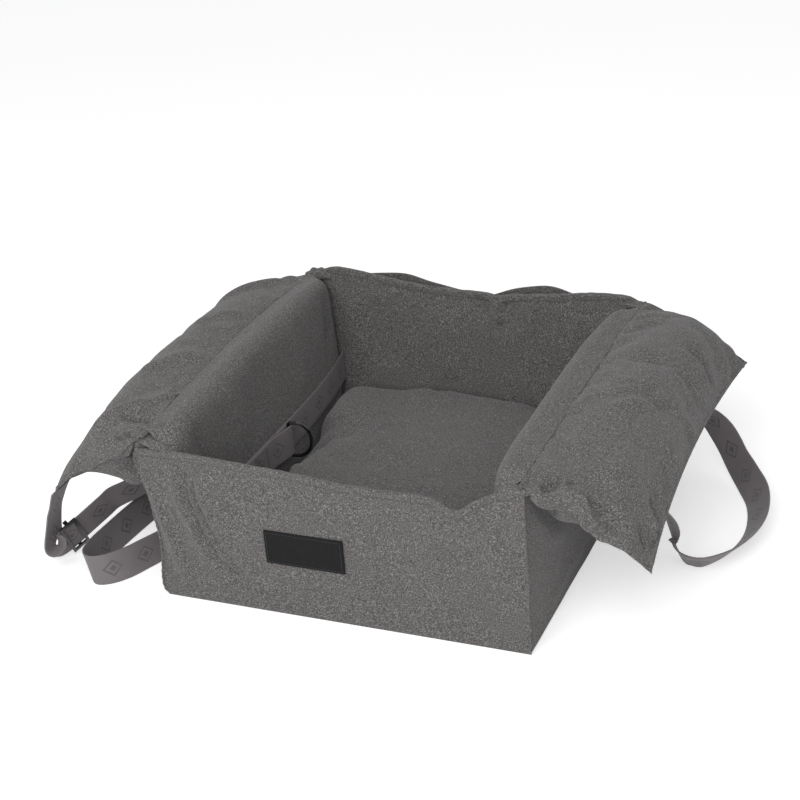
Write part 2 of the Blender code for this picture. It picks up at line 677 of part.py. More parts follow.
def add_ring(bar_lift):
    """Make the wire D-ring, whose straight bar lies in the keeper's fold."""
    centre, lean = tether_place(RING_BAR_Y, bar_lift)
    half_bar = WEBBING_WIDTH / 2 + RING_SIDE_GAP + RING_WIRE_RADIUS
    corner = RING_WIRE_RADIUS
    points = [(0, -half_bar + corner), (0, half_bar - corner)]
    points.append((corner, half_bar))
    for step in range(RING_ARC_STEPS + 1):
        turn = math.pi / 2 - math.pi * step / RING_ARC_STEPS
        reach = RING_ARM + (RING_REACH - RING_ARM) * math.cos(turn)
        points.append((reach, half_bar * math.sin(turn)))
    points.append((corner, -half_bar))
    curve = bpy.data.curves.new("d_ring", "CURVE")
    curve.dimensions = "3D"
    curve.bevel_depth = RING_WIRE_RADIUS
    curve.bevel_resolution = 2
    spline = curve.splines.new("POLY")
    spline.points.add(len(points) - 1)
    for target, (reach, up) in zip(spline.points, points):
        target.co = (reach, 0, up, 1)
    spline.use_cyclic_u = True
    piece = add_object("d_ring", curve, ring_metal)
    outward = Vector((lean.z, 0, -lean.x))
    frame = Matrix((outward, lean.cross(outward), lean)).transposed()
    turned = frame @ Matrix.Rotation(RING_REST_TURN, 3, "Z")
    piece.matrix_world = Matrix.Translation(centre) @ turned.to_4x4()


def add_slider():
    """Make the slider: a frame over the webbing and a centre bar under it, in one piece."""
    centre = Vector(WING_STRAP_ROUTE[SLIDER_ROUTE_POINT][0])
    up_strap = Vector(WING_STRAP_ROUTE[SLIDER_ROUTE_POINT - 1][0])
    down_strap = Vector(WING_STRAP_ROUTE[SLIDER_ROUTE_POINT + 1][0])
    along = (up_strap - down_strap).normalized()
    across = Vector(WING_STRAP_ROUTE[SLIDER_ROUTE_POINT][1])
    across = (across - along * across.dot(along)).normalized()
    outward = along.cross(across)
    half_long = SLIDER_LENGTH / 2
    inner = WEBBING_WIDTH / 2 + SLIDER_STRAP_GAP
    outer = inner + SLIDER_RAIL
    over = WEBBING_THICKNESS / 2 + SLIDER_STRAP_GAP
    top = over + SLIDER_PLATE
    half_centre = SLIDER_CENTRE_BAR / 2
    bars = (
        ((-half_long, -outer, over), (half_long, -inner, top)),
        ((-half_long, inner, over), (half_long, outer, top)),
        ((-half_long, -outer, over), (SLIDER_BAR - half_long, outer, top)),
        ((half_long - SLIDER_BAR, -outer, over), (half_long, outer, top)),
        ((-half_centre, -outer, -top), (half_centre, -inner, top)),
        ((-half_centre, inner, -top), (half_centre, outer, top)),
        ((-half_centre, -outer, -top), (half_centre, outer, -over)),
    )
    slider = add_block("strap_slider", *bars[0], slider_black)
    mesh = slider.data
    mesh.transform(Matrix.Translation(slider.location))
    slider.location = (0, 0, 0)
    for index, (low, high) in enumerate(bars[1:]):
        cutter = add_block("slider_bar_" + str(index), low, high, slider_black)
        part.objects.unlink(cutter)
        cutters.objects.link(cutter)
        cutter.hide_render = True
        cutter.display_type = "WIRE"
        union = slider.modifiers.new("join", "BOOLEAN")
        union.operation = "UNION"
        union.solver = "EXACT"
        union.object = cutter
        cutter.parent = slider
    add_bevel(slider, SLIDER_ROUNDING)
    frame = Matrix((along, across, outward)).transposed()
    slider.matrix_world = Matrix.Translation(centre) @ frame.to_4x4()


def add_webbing():
    """Make the three bands of webbing that leave the seat."""
    bands = (
        ("left_belt_loop", BELT_LOOP_ROUTE),
        ("wing_strap", WING_STRAP_ROUTE),
        ("right_belt_loop", RIGHT_LOOP_ROUTE),
    )
    for name, route in bands:
        add_band(name, route_stations(route), WEBBING_WIDTH, WEBBING_THICKNESS, webbing)


for old in list(bpy.data.objects):
    bpy.data.objects.remove(old, do_unlink=True)

part = make_collection("dog_car_seat")
cutters = make_collection("cutters")

heather = make_material("heather_cloth", (0.122, 0.115, 0.109), 0.92, 0)
base_cloth = make_material("base_cloth", (0.060, 0.058, 0.056), 0.90, 0)
foam_grey = make_material("side_foam", (0.230, 0.230, 0.230), 0.95, 0)
board = make_material("base_board", (0.030, 0.030, 0.031), 0.70, 0)
webbing = make_material("webbing", (0.150, 0.134, 0.134), 0.75, 0)
rubber = make_material("label_rubber", (0.012, 0.012, 0.014), 0.55, 0)
ring_metal = make_material("ring_metal", (0.020, 0.020, 0.022), 0.22, 1)
slider_black = make_material("slider_metal", (0.030, 0.030, 0.032), 0.35, 1)

add_floor()
add_wall_and_hem("front", front_top, -HALF_DEPTH, 1, FRONT_WALL_THICKNESS)
add_wall_and_hem("back", back_top, HALF_DEPTH, -1, BACK_WALL_THICKNESS)
for side_name, side_sign in (("left", -1), ("right", 1)):
    add_side(side_name, side_sign)
    add_bolster(side_name, side_sign)
    add_wing(side_name, side_sign)
add_corner_seams()
add_cushion()
add_back_pocket()
add_label()
add_tether()
add_slider()
add_webbing()
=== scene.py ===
"""Dog car seat: the looks of each piece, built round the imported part.

Metres, +Z up. +X runs along the front wall to the right and +Y runs to the back.
"""
import math

import bmesh
import bpy
from mathutils import Matrix, Vector, noise


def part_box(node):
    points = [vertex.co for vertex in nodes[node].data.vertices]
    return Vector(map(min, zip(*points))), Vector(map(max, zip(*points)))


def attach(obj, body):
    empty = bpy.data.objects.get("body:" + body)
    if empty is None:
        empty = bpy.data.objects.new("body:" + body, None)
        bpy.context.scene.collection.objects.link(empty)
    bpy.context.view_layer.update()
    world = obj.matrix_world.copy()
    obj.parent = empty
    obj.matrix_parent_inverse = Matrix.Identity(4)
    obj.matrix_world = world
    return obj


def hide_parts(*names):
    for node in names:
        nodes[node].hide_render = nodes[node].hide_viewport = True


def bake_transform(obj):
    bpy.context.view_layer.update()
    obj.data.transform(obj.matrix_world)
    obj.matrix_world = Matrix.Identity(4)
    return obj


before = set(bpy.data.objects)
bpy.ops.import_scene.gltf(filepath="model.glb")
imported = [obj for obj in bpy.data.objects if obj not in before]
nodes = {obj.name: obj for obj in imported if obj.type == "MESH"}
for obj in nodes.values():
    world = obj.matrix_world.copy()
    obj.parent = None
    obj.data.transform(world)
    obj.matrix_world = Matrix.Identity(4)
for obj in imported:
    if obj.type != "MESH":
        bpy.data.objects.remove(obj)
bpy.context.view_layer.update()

# Camera.
# The photograph was taken with a long lens from the front right, looking down on the seat,
# with the camera turned a few degrees about its own line of sight.
CAMERA_PLACE = (0.777, -1.752, 1.114)
CAMERA_AZIMUTH = math.radians(24.244)
CAMERA_ELEVATION = math.radians(26.347)
CAMERA_ROLL = math.radians(-4.607)
CAMERA_LENS = 81.19

bpy.ops.object.select_all(action="DESELECT")
bpy.ops.object.camera_add(location=CAMERA_PLACE)
camera = bpy.context.object
tilt = Matrix.Rotation(math.pi / 2 - CAMERA_ELEVATION, 3, "X")
aim = Matrix.Rotation(CAMERA_AZIMUTH, 3, "Z") @ tilt @ Matrix.Rotation(CAMERA_ROLL, 3, "Z")
camera.rotation_euler = aim.to_euler()
camera.data.sensor_width = 36
camera.data.lens = CAMERA_LENS
bpy.context.scene.camera = camera

# Left belt loop.
# A loop of 40 mm taupe webbing that the car's own belt passes through. Both ends are sewn
# to the side wall under the wing, and the loop stands on its edge on the floor.
WEBBING_WIDTH = 0.040
WEBBING_THICKNESS = 0.0018
BAND_COLUMNS = 8
BAND_STEPS = 5
SELVEDGE_ROUNDING = 0.0005
LOZENGE_PITCH = 0.045
LOZENGE_HALF_LENGTH = 0.0125
LOZENGE_HALF_WIDTH = 0.0105
WEBBING_COLOUR = (0.235, 0.214, 0.218, 1)
WEBBING_SHADE = (0.165, 0.149, 0.153, 1)
LOZENGE_COLOUR = (0.070, 0.062, 0.066, 1)
LOZENGE_RING_REACH = 0.93
LOZENGE_RING_SPAN = (0.16, 0.08)
LOZENGE_CORE_SPAN = (0.42, 0.34)
LOZENGE_FADE_SPAN = (0.15, 0.55)
LOZENGE_FADE = 0.55
LOZENGE_DEPTH = 1.6
LOZENGE_ROUGHNESS = 0.12
RIB_BANDS = ("Y", 160.0, 0.6, 1.0)
PICK_BANDS = ("X", 300.0, 1.2, 1.0)
PATCH_NOISE = (38.0, 3.0)
FUZZ_NOISE = (900.0, 2.0)
PATCH_SHARE = 0.7
RIB_SHADE_SHARE = 0.2
RIB_HEIGHT_SHARE = 0.5
PICK_HEIGHT_SHARE = 0.25
FUZZ_HEIGHT_SHARE = 0.2
WEBBING_ROUGHNESS = (0.15, 0.50)
WEBBING_SHEEN = 0.12
WEBBING_SHEEN_ROUGHNESS = 0.45
WEBBING_SPECULAR = 0.35
WEBBING_GRAIN = (0.55, 0.0004)
SELVEDGE_ANGLE = math.radians(60)
BAND_SMOOTH_ANGLE = math.radians(50)
BELT_LOOP_ROUTE = (
    ((-0.2256, 0.0000, 0.0205), (0.00, 0.00, 1.00)),
    ((-0.2420, 0.0000, 0.0205), (0.00, 0.00, 1.00)),
    ((-0.2720, -0.0050, 0.0205), (-0.06, 0.00, 1.00)),
    ((-0.2980, -0.0210, 0.0205), (-0.12, 0.00, 0.99)),
    ((-0.3160, -0.0500, 0.0205), (-0.18, 0.00, 0.98)),
    ((-0.3245, -0.0880, 0.0205), (-0.20, 0.00, 0.98)),
    ((-0.3285, -0.1280, 0.0205), (-0.22, 0.00, 0.97)),
    ((-0.3305, -0.1680, 0.0205), (-0.22, 0.00, 0.97)),
    ((-0.3315, -0.2060, 0.0205), (-0.22, 0.00, 0.97)),
    ((-0.3275, -0.2320, 0.0205), (-0.20, -0.03, 0.97)),
    ((-0.3150, -0.2425, 0.0205), (-0.14, -0.06, 0.98)),
    ((-0.2985, -0.2360, 0.0205), (-0.10, -0.04, 0.98)),
    ((-0.2830, -0.2160, 0.0205), (-0.10, 0.04, 0.99)),
    ((-0.2705, -0.1880, 0.0205), (-0.08, 0.04, 0.99)),
    ((-0.2580, -0.1620, 0.0205), (-0.04, 0.02, 1.00)),
    ((-0.2420, -0.1500, 0.0205), (0.00, 0.00, 1.00)),
    ((-0.2256, -0.1500, 0.0205), (0.00, 0.00, 1.00)),
)


def add_node(material, kind, settings, inputs):
    """Add one node to a material, with its settings, its values and its links."""
    node = material.node_tree.nodes.new(kind)
    for name, value in settings.items():
        setattr(node, name, value)
    for name, value in inputs.items():
        if isinstance(value, bpy.types.NodeSocket):
            material.node_tree.links.new(value, node.inputs[name])
        else:
            node.inputs[name].default_value = value
    return node


def sum_of(material, operation, first, second):
    """Return the output of a Math node on two sockets or numbers."""
    node = add_node(material, "ShaderNodeMath", {"operation": operation}, {0: first, 1: second})
    return node.outputs[0]


def mixed(material, share, low, high):
    """Return a colour that goes from one to another as a share goes from 0 to 1."""
    settings = {"data_type": "RGBA"}
    node = add_node(material, "ShaderNodeMix", settings, {0: share, 6: low, 7: high})
    return node.outputs[2]


def ramped(material, value, low, high):
    """Return a share that goes smoothly from 0 to 1 as a value goes from low to high."""
    settings = {"interpolation_type": "SMOOTHSTEP"}
    inputs = {"Value": value, "From Min": low, "From Max": high}
    return add_node(material, "ShaderNodeMapRange", settings, inputs).outputs[0]


def new_material(name):
    """Return an empty node material and its Principled shader."""
    material = bpy.data.materials.new(name)
    material.use_nodes = True
    return material, material.node_tree.nodes["Principled BSDF"]


def link(material, output, shader, name):
    """Join a node's output to one of the shader's sockets."""
    material.node_tree.links.new(output, shader.inputs[name])


def noise_at(material, place, scale, detail, roughness=0.5):
    """Return a cloudy value at a place."""
    inputs = {"Vector": place, "Scale": scale, "Detail": detail, "Roughness": roughness}
    return add_node(material, "ShaderNodeTexNoise", {}, inputs).outputs["Fac"]


def bands_at(material, place, direction, scale, distortion, detail):
    """Return a value that rises and falls in bands along one direction."""
    settings = {"wave_type": "BANDS", "bands_direction": direction, "wave_profile": "SIN"}
    inputs = {"Vector": place, "Scale": scale, "Distortion": distortion, "Detail": detail}
    return add_node(material, "ShaderNodeTexWave", settings, inputs).outputs["Fac"]


def own_place(material):
    """Return the place of a point on its own object."""
    return add_node(material, "ShaderNodeTexCoord", {}, {}).outputs["Object"]


def added(material, value, share, least):
    """Return a share of one value on top of another value or number."""
    return sum_of(material, "ADD", sum_of(material, "MULTIPLY", value, share), least)


def raise_grain(material, shader, height, strength, distance):
    """Let a height stand up as a fine grain on the surface."""
    settings = {"Height": height, "Strength": strength, "Distance": distance}
    bump = add_node(material, "ShaderNodeBump", {}, settings)
    link(material, bump.outputs[0], shader, "Normal")


def make_webbing():
    """Return the webbing's finish: a tight rib along its UV map and woven lozenges."""
    material, shader = new_material("taupe_webbing")
    along_across = add_node(material, "ShaderNodeUVMap", {}, {}).outputs[0]
    split = add_node(material, "ShaderNodeSeparateXYZ", {}, {0: along_across})
    along = split.outputs[0]
    across = split.outputs[1]
    step = sum_of(material, "DIVIDE", along, LOZENGE_PITCH)
    step = sum_of(material, "FRACT", step, 0)
    off = sum_of(material, "ABSOLUTE", sum_of(material, "SUBTRACT", step, 0.5), 0)
    off = sum_of(material, "MULTIPLY", off, LOZENGE_PITCH / LOZENGE_HALF_LENGTH)
    side = sum_of(material, "ABSOLUTE", across, 0)
    side = sum_of(material, "DIVIDE", side, LOZENGE_HALF_WIDTH)
    reach = sum_of(material, "ADD", off, side)
    from_ring = sum_of(material, "SUBTRACT", reach, LOZENGE_RING_REACH)
    from_ring = sum_of(material, "ABSOLUTE", from_ring, 0)
    ring = ramped(material, from_ring, *LOZENGE_RING_SPAN)
    core = ramped(material, reach, *LOZENGE_CORE_SPAN)
    figure = sum_of(material, "MAXIMUM", ring, core)
    ribs = bands_at(material, along_across, *RIB_BANDS)
    picks = bands_at(material, along_across, *PICK_BANDS)
    place = own_place(material)
    patches = noise_at(material, place, *PATCH_NOISE)
    fuzz = noise_at(material, place, *FUZZ_NOISE)
    shade = sum_of(material, "MULTIPLY", patches, PATCH_SHARE)
    shade = added(material, ribs, RIB_SHADE_SHARE, shade)
    ground = mixed(material, shade, WEBBING_SHADE, WEBBING_COLOUR)
    faded = sum_of(material, "MULTIPLY", figure, ramped(material, patches, *LOZENGE_FADE_SPAN))
    faded = sum_of(material, "MULTIPLY", faded, LOZENGE_FADE)
    link(material, mixed(material, faded, ground, LOZENGE_COLOUR), shader, "Base Color")
    rough = added(material, fuzz, *WEBBING_ROUGHNESS)
    link(material, added(material, figure, LOZENGE_ROUGHNESS, rough), shader, "Roughness")
    shader.inputs["Sheen Weight"].default_value = WEBBING_SHEEN
    shader.inputs["Sheen Roughness"].default_value = WEBBING_SHEEN_ROUGHNESS
    shader.inputs["Specular IOR Level"].default_value = WEBBING_SPECULAR
    height = sum_of(material, "MULTIPLY", ribs, RIB_HEIGHT_SHARE)
    height = added(material, picks, PICK_HEIGHT_SHARE, height)
    height = added(material, figure, -LOZENGE_DEPTH, height)
    height = added(material, fuzz, FUZZ_HEIGHT_SHARE, height)
    raise_grain(material, shader, height, *WEBBING_GRAIN)
    return material


def smooth_point(before, start, end, after, share):
    """Return a point of the Catmull-Rom curve from start to end."""
    square = share * share
    cube = square * share
    near = before * (2 * square - share - cube) + start * (2 + 3 * cube - 5 * square)
    far = end * (share + 4 * square - 3 * cube) + after * (cube - square)
    return (near + far) / 2


def route_stations(route):
    """Return the centre and width direction of a band along its route."""
    centres = [Vector(row[0]) for row in route]
    widths = [Vector(row[1]).normalized() for row in route]
    last = len(route) - 1
    stations = [(centres[0], widths[0])]
    for index in range(1, last - 1):
        rows = (index - 1, index, index + 1, index + 2)
        for step in range(BAND_STEPS):
            share = step / BAND_STEPS
            centre = smooth_point(*[centres[row] for row in rows], share)
            width = smooth_point(*[widths[row] for row in rows], share)
            stations.append((centre, width))
    stations.append((centres[last - 1], widths[last - 1]))
    stations.append((centres[last], widths[last]))
    return stations


def apply_modifiers(piece):
    """Apply every modifier of a piece, in order."""
    bpy.ops.object.select_all(action="DESELECT")
    piece.select_set(True)
    bpy.context.view_layer.objects.active = piece
    for modifier in list(piece.modifiers):
        bpy.ops.object.modifier_apply(modifier=modifier.name)


def add_grid(name, columns, rows):
    """Add a flat two-unit grid to be bent into a piece."""
    bpy.ops.object.select_all(action="DESELECT")
    bpy.ops.mesh.primitive_grid_add(x_subdivisions=columns, y_subdivisions=rows, size=2)
    piece = bpy.context.object
    piece.name = name
    piece.data.name = name
    return piece


def lay_band(name, stations, width, thickness, material):
    """Lay flat webbing along its stations, with its run and its width as its UV map."""
    count = len(stations)
    band = add_grid(name, count - 1, BAND_COLUMNS)
    runs = [0.0]
    for before, after in zip(stations, stations[1:]):
        runs.append(runs[-1] + (after[0] - before[0]).length)
    places = []
    for vertex in band.data.vertices:
        row = round((vertex.co.x + 1) / 2 * (count - 1))
        places.append((row, vertex.co.y * width / 2))
    for vertex, (row, aside) in zip(band.data.vertices, places):
        centre, across = stations[row]
        tangent = stations[min(row + 1, count - 1)][0] - stations[max(row - 1, 0)][0]
        tangent.normalize()
        across = (across - tangent * across.dot(tangent)).normalized()
        vertex.co = centre + across * aside
    weave = band.data.uv_layers.active
    for loop in band.data.loops:
        row, aside = places[loop.vertex_index]
        weave.data[loop.index].uv = (runs[row], aside)
    solid = band.modifiers.new("thickness", "SOLIDIFY")
    solid.thickness = thickness
    solid.offset = 0
    solid.use_even_offset = True
    edge = band.modifiers.new("selvedge", "BEVEL")
    edge.width = SELVEDGE_ROUNDING
    edge.segments = 2
    edge.limit_method = "ANGLE"
    edge.angle_limit = SELVEDGE_ANGLE
    apply_modifiers(band)
    bpy.ops.object.shade_smooth_by_angle(angle=BAND_SMOOTH_ANGLE)
    band.data.materials.append(material)
    return band


def lay_cord(name, node, route):
    """Lay a free length of the webbing along its route, in place of its plain CAD node."""
    stations = route_stations(route)
    band = lay_band(name, stations, WEBBING_WIDTH, WEBBING_THICKNESS, taupe_webbing)
    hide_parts(node)
    [tuple(station[0]) for station in stations]
    return band


taupe_webbing = make_webbing()
left_loop = lay_cord(
    "left_loop_webbing", "left_belt_loop", BELT_LOOP_ROUTE
)
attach(left_loop, "seat")

# Wing strap and its slider.
# The same webbing runs out from the side wall, through a black metal slider that sets its
# length, and back up to the wing's front corner, which it holds down.
SLIDER_COLOUR = (0.018, 0.018, 0.019, 1)
SLIDER_WORN_COLOUR = (0.10, 0.10, 0.105, 1)
SLIDER_ROUGHNESS = 0.32
SLIDER_SCRATCH_SCALE = 700.0
METAL_CLOUD_NOISE = (220.0, 5.0)
METAL_WEAR_SPAN = (0.53, 0.62)
METAL_SHARE = 0.85
METAL_COAT = 0.9
METAL_COAT_ROUGHNESS = 0.10
SCRATCH_STRETCH = (1.0, 0.12, 1.0)
SCRATCH_NOISE = (3.0, 0.7)
SCRATCH_ROUGHNESS = 0.16
SCRATCH_GRAIN = (0.12, 0.0001)
WING_STRAP_ROUTE = (
    ((-0.2256, -0.0980, 0.1150), (0.00, -0.55, 0.83)),
    ((-0.2400, -0.0980, 0.1110), (0.00, -0.52, 0.84)),
    ((-0.2700, -0.1060, 0.0930), (0.10, -0.48, 0.86)),
    ((-0.2980, -0.1180, 0.0785), (0.10, -0.46, 0.87)),
    ((-0.3200, -0.1310, 0.0675), (0.05, -0.46, 0.87)),
    ((-0.3372, -0.1436, 0.0608), (0.03, -0.45, 0.88)),
    ((-0.3443, -0.1547, 0.0547), (0.03, -0.45, 0.88)),
    ((-0.3516, -0.1664, 0.0484), (0.03, -0.45, 0.88)),
    ((-0.3589, -0.1781, 0.0421), (0.03, -0.45, 0.88)),
    ((-0.3690, -0.1943, 0.0334), (0.03, -0.45, 0.88)),
    ((-0.3755, -0.2047, 0.0278), (0.03, -0.45, 0.88)),
    ((-0.3802, -0.2128, 0.0252), (0.06, -0.60, 0.78)),
    ((-0.3822, -0.2168, 0.0306), (0.08, -0.78, 0.60)),
    ((-0.3808, -0.2180, 0.0425), (0.10, -0.90, 0.40)),
    ((-0.3775, -0.2175, 0.0600), (0.16, -0.95, 0.26)),
    ((-0.3720, -0.2185, 0.0790), (0.18, -0.97, 0.15)),
    ((-0.3650, -0.2200, 0.0940), (0.14, -0.98, 0.06)),
    ((-0.3585, -0.2210, 0.1080), (0.06, -1.00, 0.00)),
    ((-0.3540, -0.2218, 0.1160), (0.00, -1.00, -0.03)),
    ((-0.3505, -0.2222, 0.1190), (-0.03, -1.00, -0.04)),
)


def make_black_metal(name, colour, worn, roughness, scratch_scale):
    """Return a coated metal that is worn a little along its edges and finely scratched."""
    material, shader = new_material(name)
    place = own_place(material)
    cloud = noise_at(material, place, *METAL_CLOUD_NOISE)
    inputs = {"Vector": place, "Scale": SCRATCH_STRETCH}
    stretched = add_node(material, "ShaderNodeMapping", {}, inputs).outputs[0]
    scratch = noise_at(material, stretched, scratch_scale, *SCRATCH_NOISE)
    edge = add_node(material, "ShaderNodeNewGeometry", {}, {}).outputs["Pointiness"]
    wear = sum_of(material, "MULTIPLY", ramped(material, edge, *METAL_WEAR_SPAN), cloud)
    link(material, mixed(material, wear, colour, worn), shader, "Base Color")
    link(material, added(material, scratch, SCRATCH_ROUGHNESS, roughness), shader, "Roughness")
    shader.inputs["Metallic"].default_value = METAL_SHARE
    shader.inputs["Coat Weight"].default_value = METAL_COAT
    shader.inputs["Coat Roughness"].default_value = METAL_COAT_ROUGHNESS
    raise_grain(material, shader, scratch, *SCRATCH_GRAIN)
    return material


def finish_node(name, material):
    """Give a CAD node its finish."""
    mesh = nodes[name].data
    mesh.materials.clear()
    mesh.materials.append(material)


wing_strap = lay_cord(
    "wing_strap_webbing", "wing_strap", WING_STRAP_ROUTE
)
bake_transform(wing_strap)
slider_metal = make_black_metal(
    "slider_coat", SLIDER_COLOUR, SLIDER_WORN_COLOUR, SLIDER_ROUGHNESS, SLIDER_SCRATCH_SCALE
)
finish_node("strap_slider", slider_metal)

# Right belt loop.
# One long loop of the webbing lies on the floor beyond the right wing, half on its edge, and
# twists back up to the side wall. Both its ends are sewn in under the wing.
RIGHT_LOOP_ROUTE = (
    ((0.2256, 0.1720, 0.1240), (0.00, -1.00, 0.10)),
    ((0.2400, 0.1720, 0.1240), (0.00, -0.95, 0.25)),
    ((0.2680, 0.1800, 0.1130), (0.10, -0.80, 0.50)),
    ((0.2950, 0.1930, 0.0960), (0.25, -0.60, 0.70)),
    ((0.3180, 0.2040, 0.0740), (0.35, -0.40, 0.82)),
    ((0.3340, 0.2070, 0.0480), (0.48, -0.15, 0.85)),
    ((0.3500, 0.1950, 0.0270), (0.56, -0.02, 0.80)),
    ((0.3690, 0.1680, 0.0192), (0.58, 0.05, 0.78)),
    ((0.3870, 0.1350, 0.0170), (0.60, 0.06, 0.77)),
    ((0.3970, 0.0980, 0.0166), (0.62, 0.05, 0.76)),
    ((0.4000, 0.0600, 0.0163), (0.64, -0.02, 0.74)),
    ((0.3940, 0.0240, 0.0159), (0.64, -0.20, 0.72)),
    ((0.3800, -0.0080, 0.0156), (0.52, -0.46, 0.70)),
    ((0.3590, -0.0300, 0.0157), (0.22, -0.66, 0.70)),
    ((0.3380, -0.0270, 0.0170), (0.02, -0.70, 0.70)),
    ((0.3240, -0.0100, 0.0215), (0.10, -0.72, 0.67)),
    ((0.3190, -0.0055, 0.0370), (0.32, -0.74, 0.58)),
    ((0.3200, -0.0160, 0.0580), (0.40, -0.78, 0.45)),
    ((0.3180, -0.0320, 0.0800), (0.32, -0.85, 0.35)),
    ((0.3020, -0.0450, 0.1000), (0.15, -0.95, 0.20)),
    ((0.2780, -0.0520, 0.1150), (0.05, -1.00, 0.10)),
    ((0.2420, -0.0550, 0.1250), (0.00, -1.00, 0.00)),
    ((0.2256, -0.0550, 0.1250), (0.00, -1.00, 0.00)),
)

right_loop = lay_cord(
    "right_loop_webbing", "right_belt_loop", RIGHT_LOOP_ROUTE
)
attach(right_loop, "seat")

# Base board.
# A stiff black board with a fine leather grain keeps the floor flat. It lies between the
# bottom cover and the bed cushion.
BOARD_COLOUR = (0.026, 0.026, 0.027, 1)
BOARD_LIGHT_COLOUR = (0.050, 0.050, 0.052, 1)
BOARD_GRAIN_SCALE = 520.0
BOARD_GRAIN_SPAN = (0.0, 0.12)
BOARD_CLOUD_NOISE = (30.0, 4.0)
BOARD_CLOUD_SPAN = (0.3, 0.7)
BOARD_ROUGHNESS = (0.2, 0.5)
BOARD_GRAIN = (0.4, 0.0002)


def make_board():
    """Return the board's grained plastic."""
    material, shader = new_material("grained_board")
    place = own_place(material)
    settings = {"feature": "DISTANCE_TO_EDGE"}
    inputs = {"Vector": place, "Scale": BOARD_GRAIN_SCALE}
    grain = add_node(material, "ShaderNodeTexVoronoi", settings, inputs).outputs["Distance"]
    cloud = noise_at(material, place, *BOARD_CLOUD_NOISE)
    share = ramped(material, cloud, *BOARD_CLOUD_SPAN)
    link(material, mixed(material, share, BOARD_COLOUR, BOARD_LIGHT_COLOUR), shader, "Base Color")
    link(material, added(material, cloud, *BOARD_ROUGHNESS), shader, "Roughness")
    raise_grain(material, shader, ramped(material, grain, *BOARD_GRAIN_SPAN), *BOARD_GRAIN)
    return material


finish_node("base_board", make_board())

# Bottom cover.
# The box's underside is a flat panel of plain dark cloth, sewn to the walls round its edge.
PANEL_EDGE_POWER = 24
BASE_CLOTH_COLOUR = (0.070, 0.068, 0.066, 1)
BASE_CLOTH_DARK_COLOUR = (0.030, 0.029, 0.028, 1)
BASE_THREADS = (240.0, 0.8, 2.0)
BASE_CLOUD_NOISE = (55.0, 4.0)
BASE_ROUGHNESS = (0.15, 0.78)
BASE_SPECULAR = 0.2
BASE_GRAIN = (0.5, 0.0004)
SHEET_EDGE_SHARE = 0.9999
SEWN_GAP = 0.00005
CLOTH_SMOOTH_ANGLE = math.radians(60)
BOTTOM_CUTS = 28
BOTTOM_INSET = 0.0045
WALL_FOOT_Z = 0.0004
half_box_width, half_box_depth, cover_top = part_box("bottom_cover")[1]


def make_base_cloth():
    """Return the plain-woven base cloth, whose threads cross at right angles."""
    material, shader = new_material("base_cloth_dark")
    place = own_place(material)
    warp = bands_at(material, place, "X", *BASE_THREADS)
    weft = bands_at(material, place, "Y", *BASE_THREADS)
    weave = sum_of(material, "MAXIMUM", warp, weft)
    cloud = noise_at(material, place, *BASE_CLOUD_NOISE)
    share = sum_of(material, "MULTIPLY", weave, cloud)
    colour = mixed(material, share, BASE_CLOTH_DARK_COLOUR, BASE_CLOTH_COLOUR)
    link(material, colour, shader, "Base Color")
    link(material, added(material, cloud, *BASE_ROUGHNESS), shader, "Roughness")
    shader.inputs["Specular IOR Level"].default_value = BASE_SPECULAR
    raise_grain(material, shader, weave, *BASE_GRAIN)
    return material


def sew_pillow(name, cuts_long, cuts_wide, place):
    """Sew two sheets together round their edges. place(long, wide, face) bends them.

    The panel attribute keeps where each point lies on its sheet.
    """
    pillow = add_grid(name, cuts_long, cuts_wide)
    count = len(pillow.data.vertices)
    bpy.ops.object.mode_set(mode="EDIT")
    bpy.ops.mesh.select_all(action="SELECT")
    bpy.ops.mesh.duplicate()
    bpy.ops.mesh.flip_normals()
    bpy.ops.object.mode_set(mode="OBJECT")
    panel = pillow.data.attributes.new("panel", "FLOAT_VECTOR", "POINT")
    for index, vertex in enumerate(pillow.data.vertices):
        face = 1 if index < count else -1
        long_share = vertex.co.x
        wide_share = vertex.co.y
        edge = max(abs(long_share), abs(wide_share)) > SHEET_EDGE_SHARE
        panel.data[index].vector = (long_share, wide_share, 0 if edge else face)
        vertex.co = place(long_share, wide_share, 0 if edge else face)
    bpy.ops.object.mode_set(mode="EDIT")
    bpy.ops.mesh.select_all(action="SELECT")
    bpy.ops.mesh.remove_doubles(threshold=SEWN_GAP)
    bpy.ops.mesh.normals_make_consistent(inside=False)
    bpy.ops.object.mode_set(mode="OBJECT")
    return pillow


def dress(piece, material, body):
    """Smooth a finished piece, give it its cloth and let it ride on its body."""
    bpy.ops.object.select_all(action="DESELECT")
    piece.select_set(True)
    bpy.context.view_layer.objects.active = piece
    bpy.ops.object.shade_smooth_by_angle(angle=CLOTH_SMOOTH_ANGLE)
    piece.data.materials.clear()
    piece.data.materials.append(material)
    if body:
        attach(piece, body)


def panel_fill(share):
    """Say how thick a panel is, from 1 inside it to 0 along its seam."""
    return max(0, 1 - abs(share) ** PANEL_EDGE_POWER) ** 0.5


def crowded(share):
    """Crowd a sheet's cuts towards its edges, where it bends the most."""
    return math.sin(share * math.pi / 2)


def finish_cloth(piece, material, node):
    """Dress a cloth piece that stays with the seat, in place of its CAD node."""
    dress(piece, material, "seat")
    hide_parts(node)


def bottom_place(long_share, wide_share, face):
    """Bend the bottom cover's sheets: flat, and closed round the edge."""
    wide = crowded(long_share)
    deep = crowded(wide_share)
    middle = cover_top / 2
    fill = panel_fill(wide) * panel_fill(deep)
    x = wide * (half_box_width - BOTTOM_INSET)
    y = deep * (half_box_depth - BOTTOM_INSET)
    return (x, y, middle + face * middle * fill)


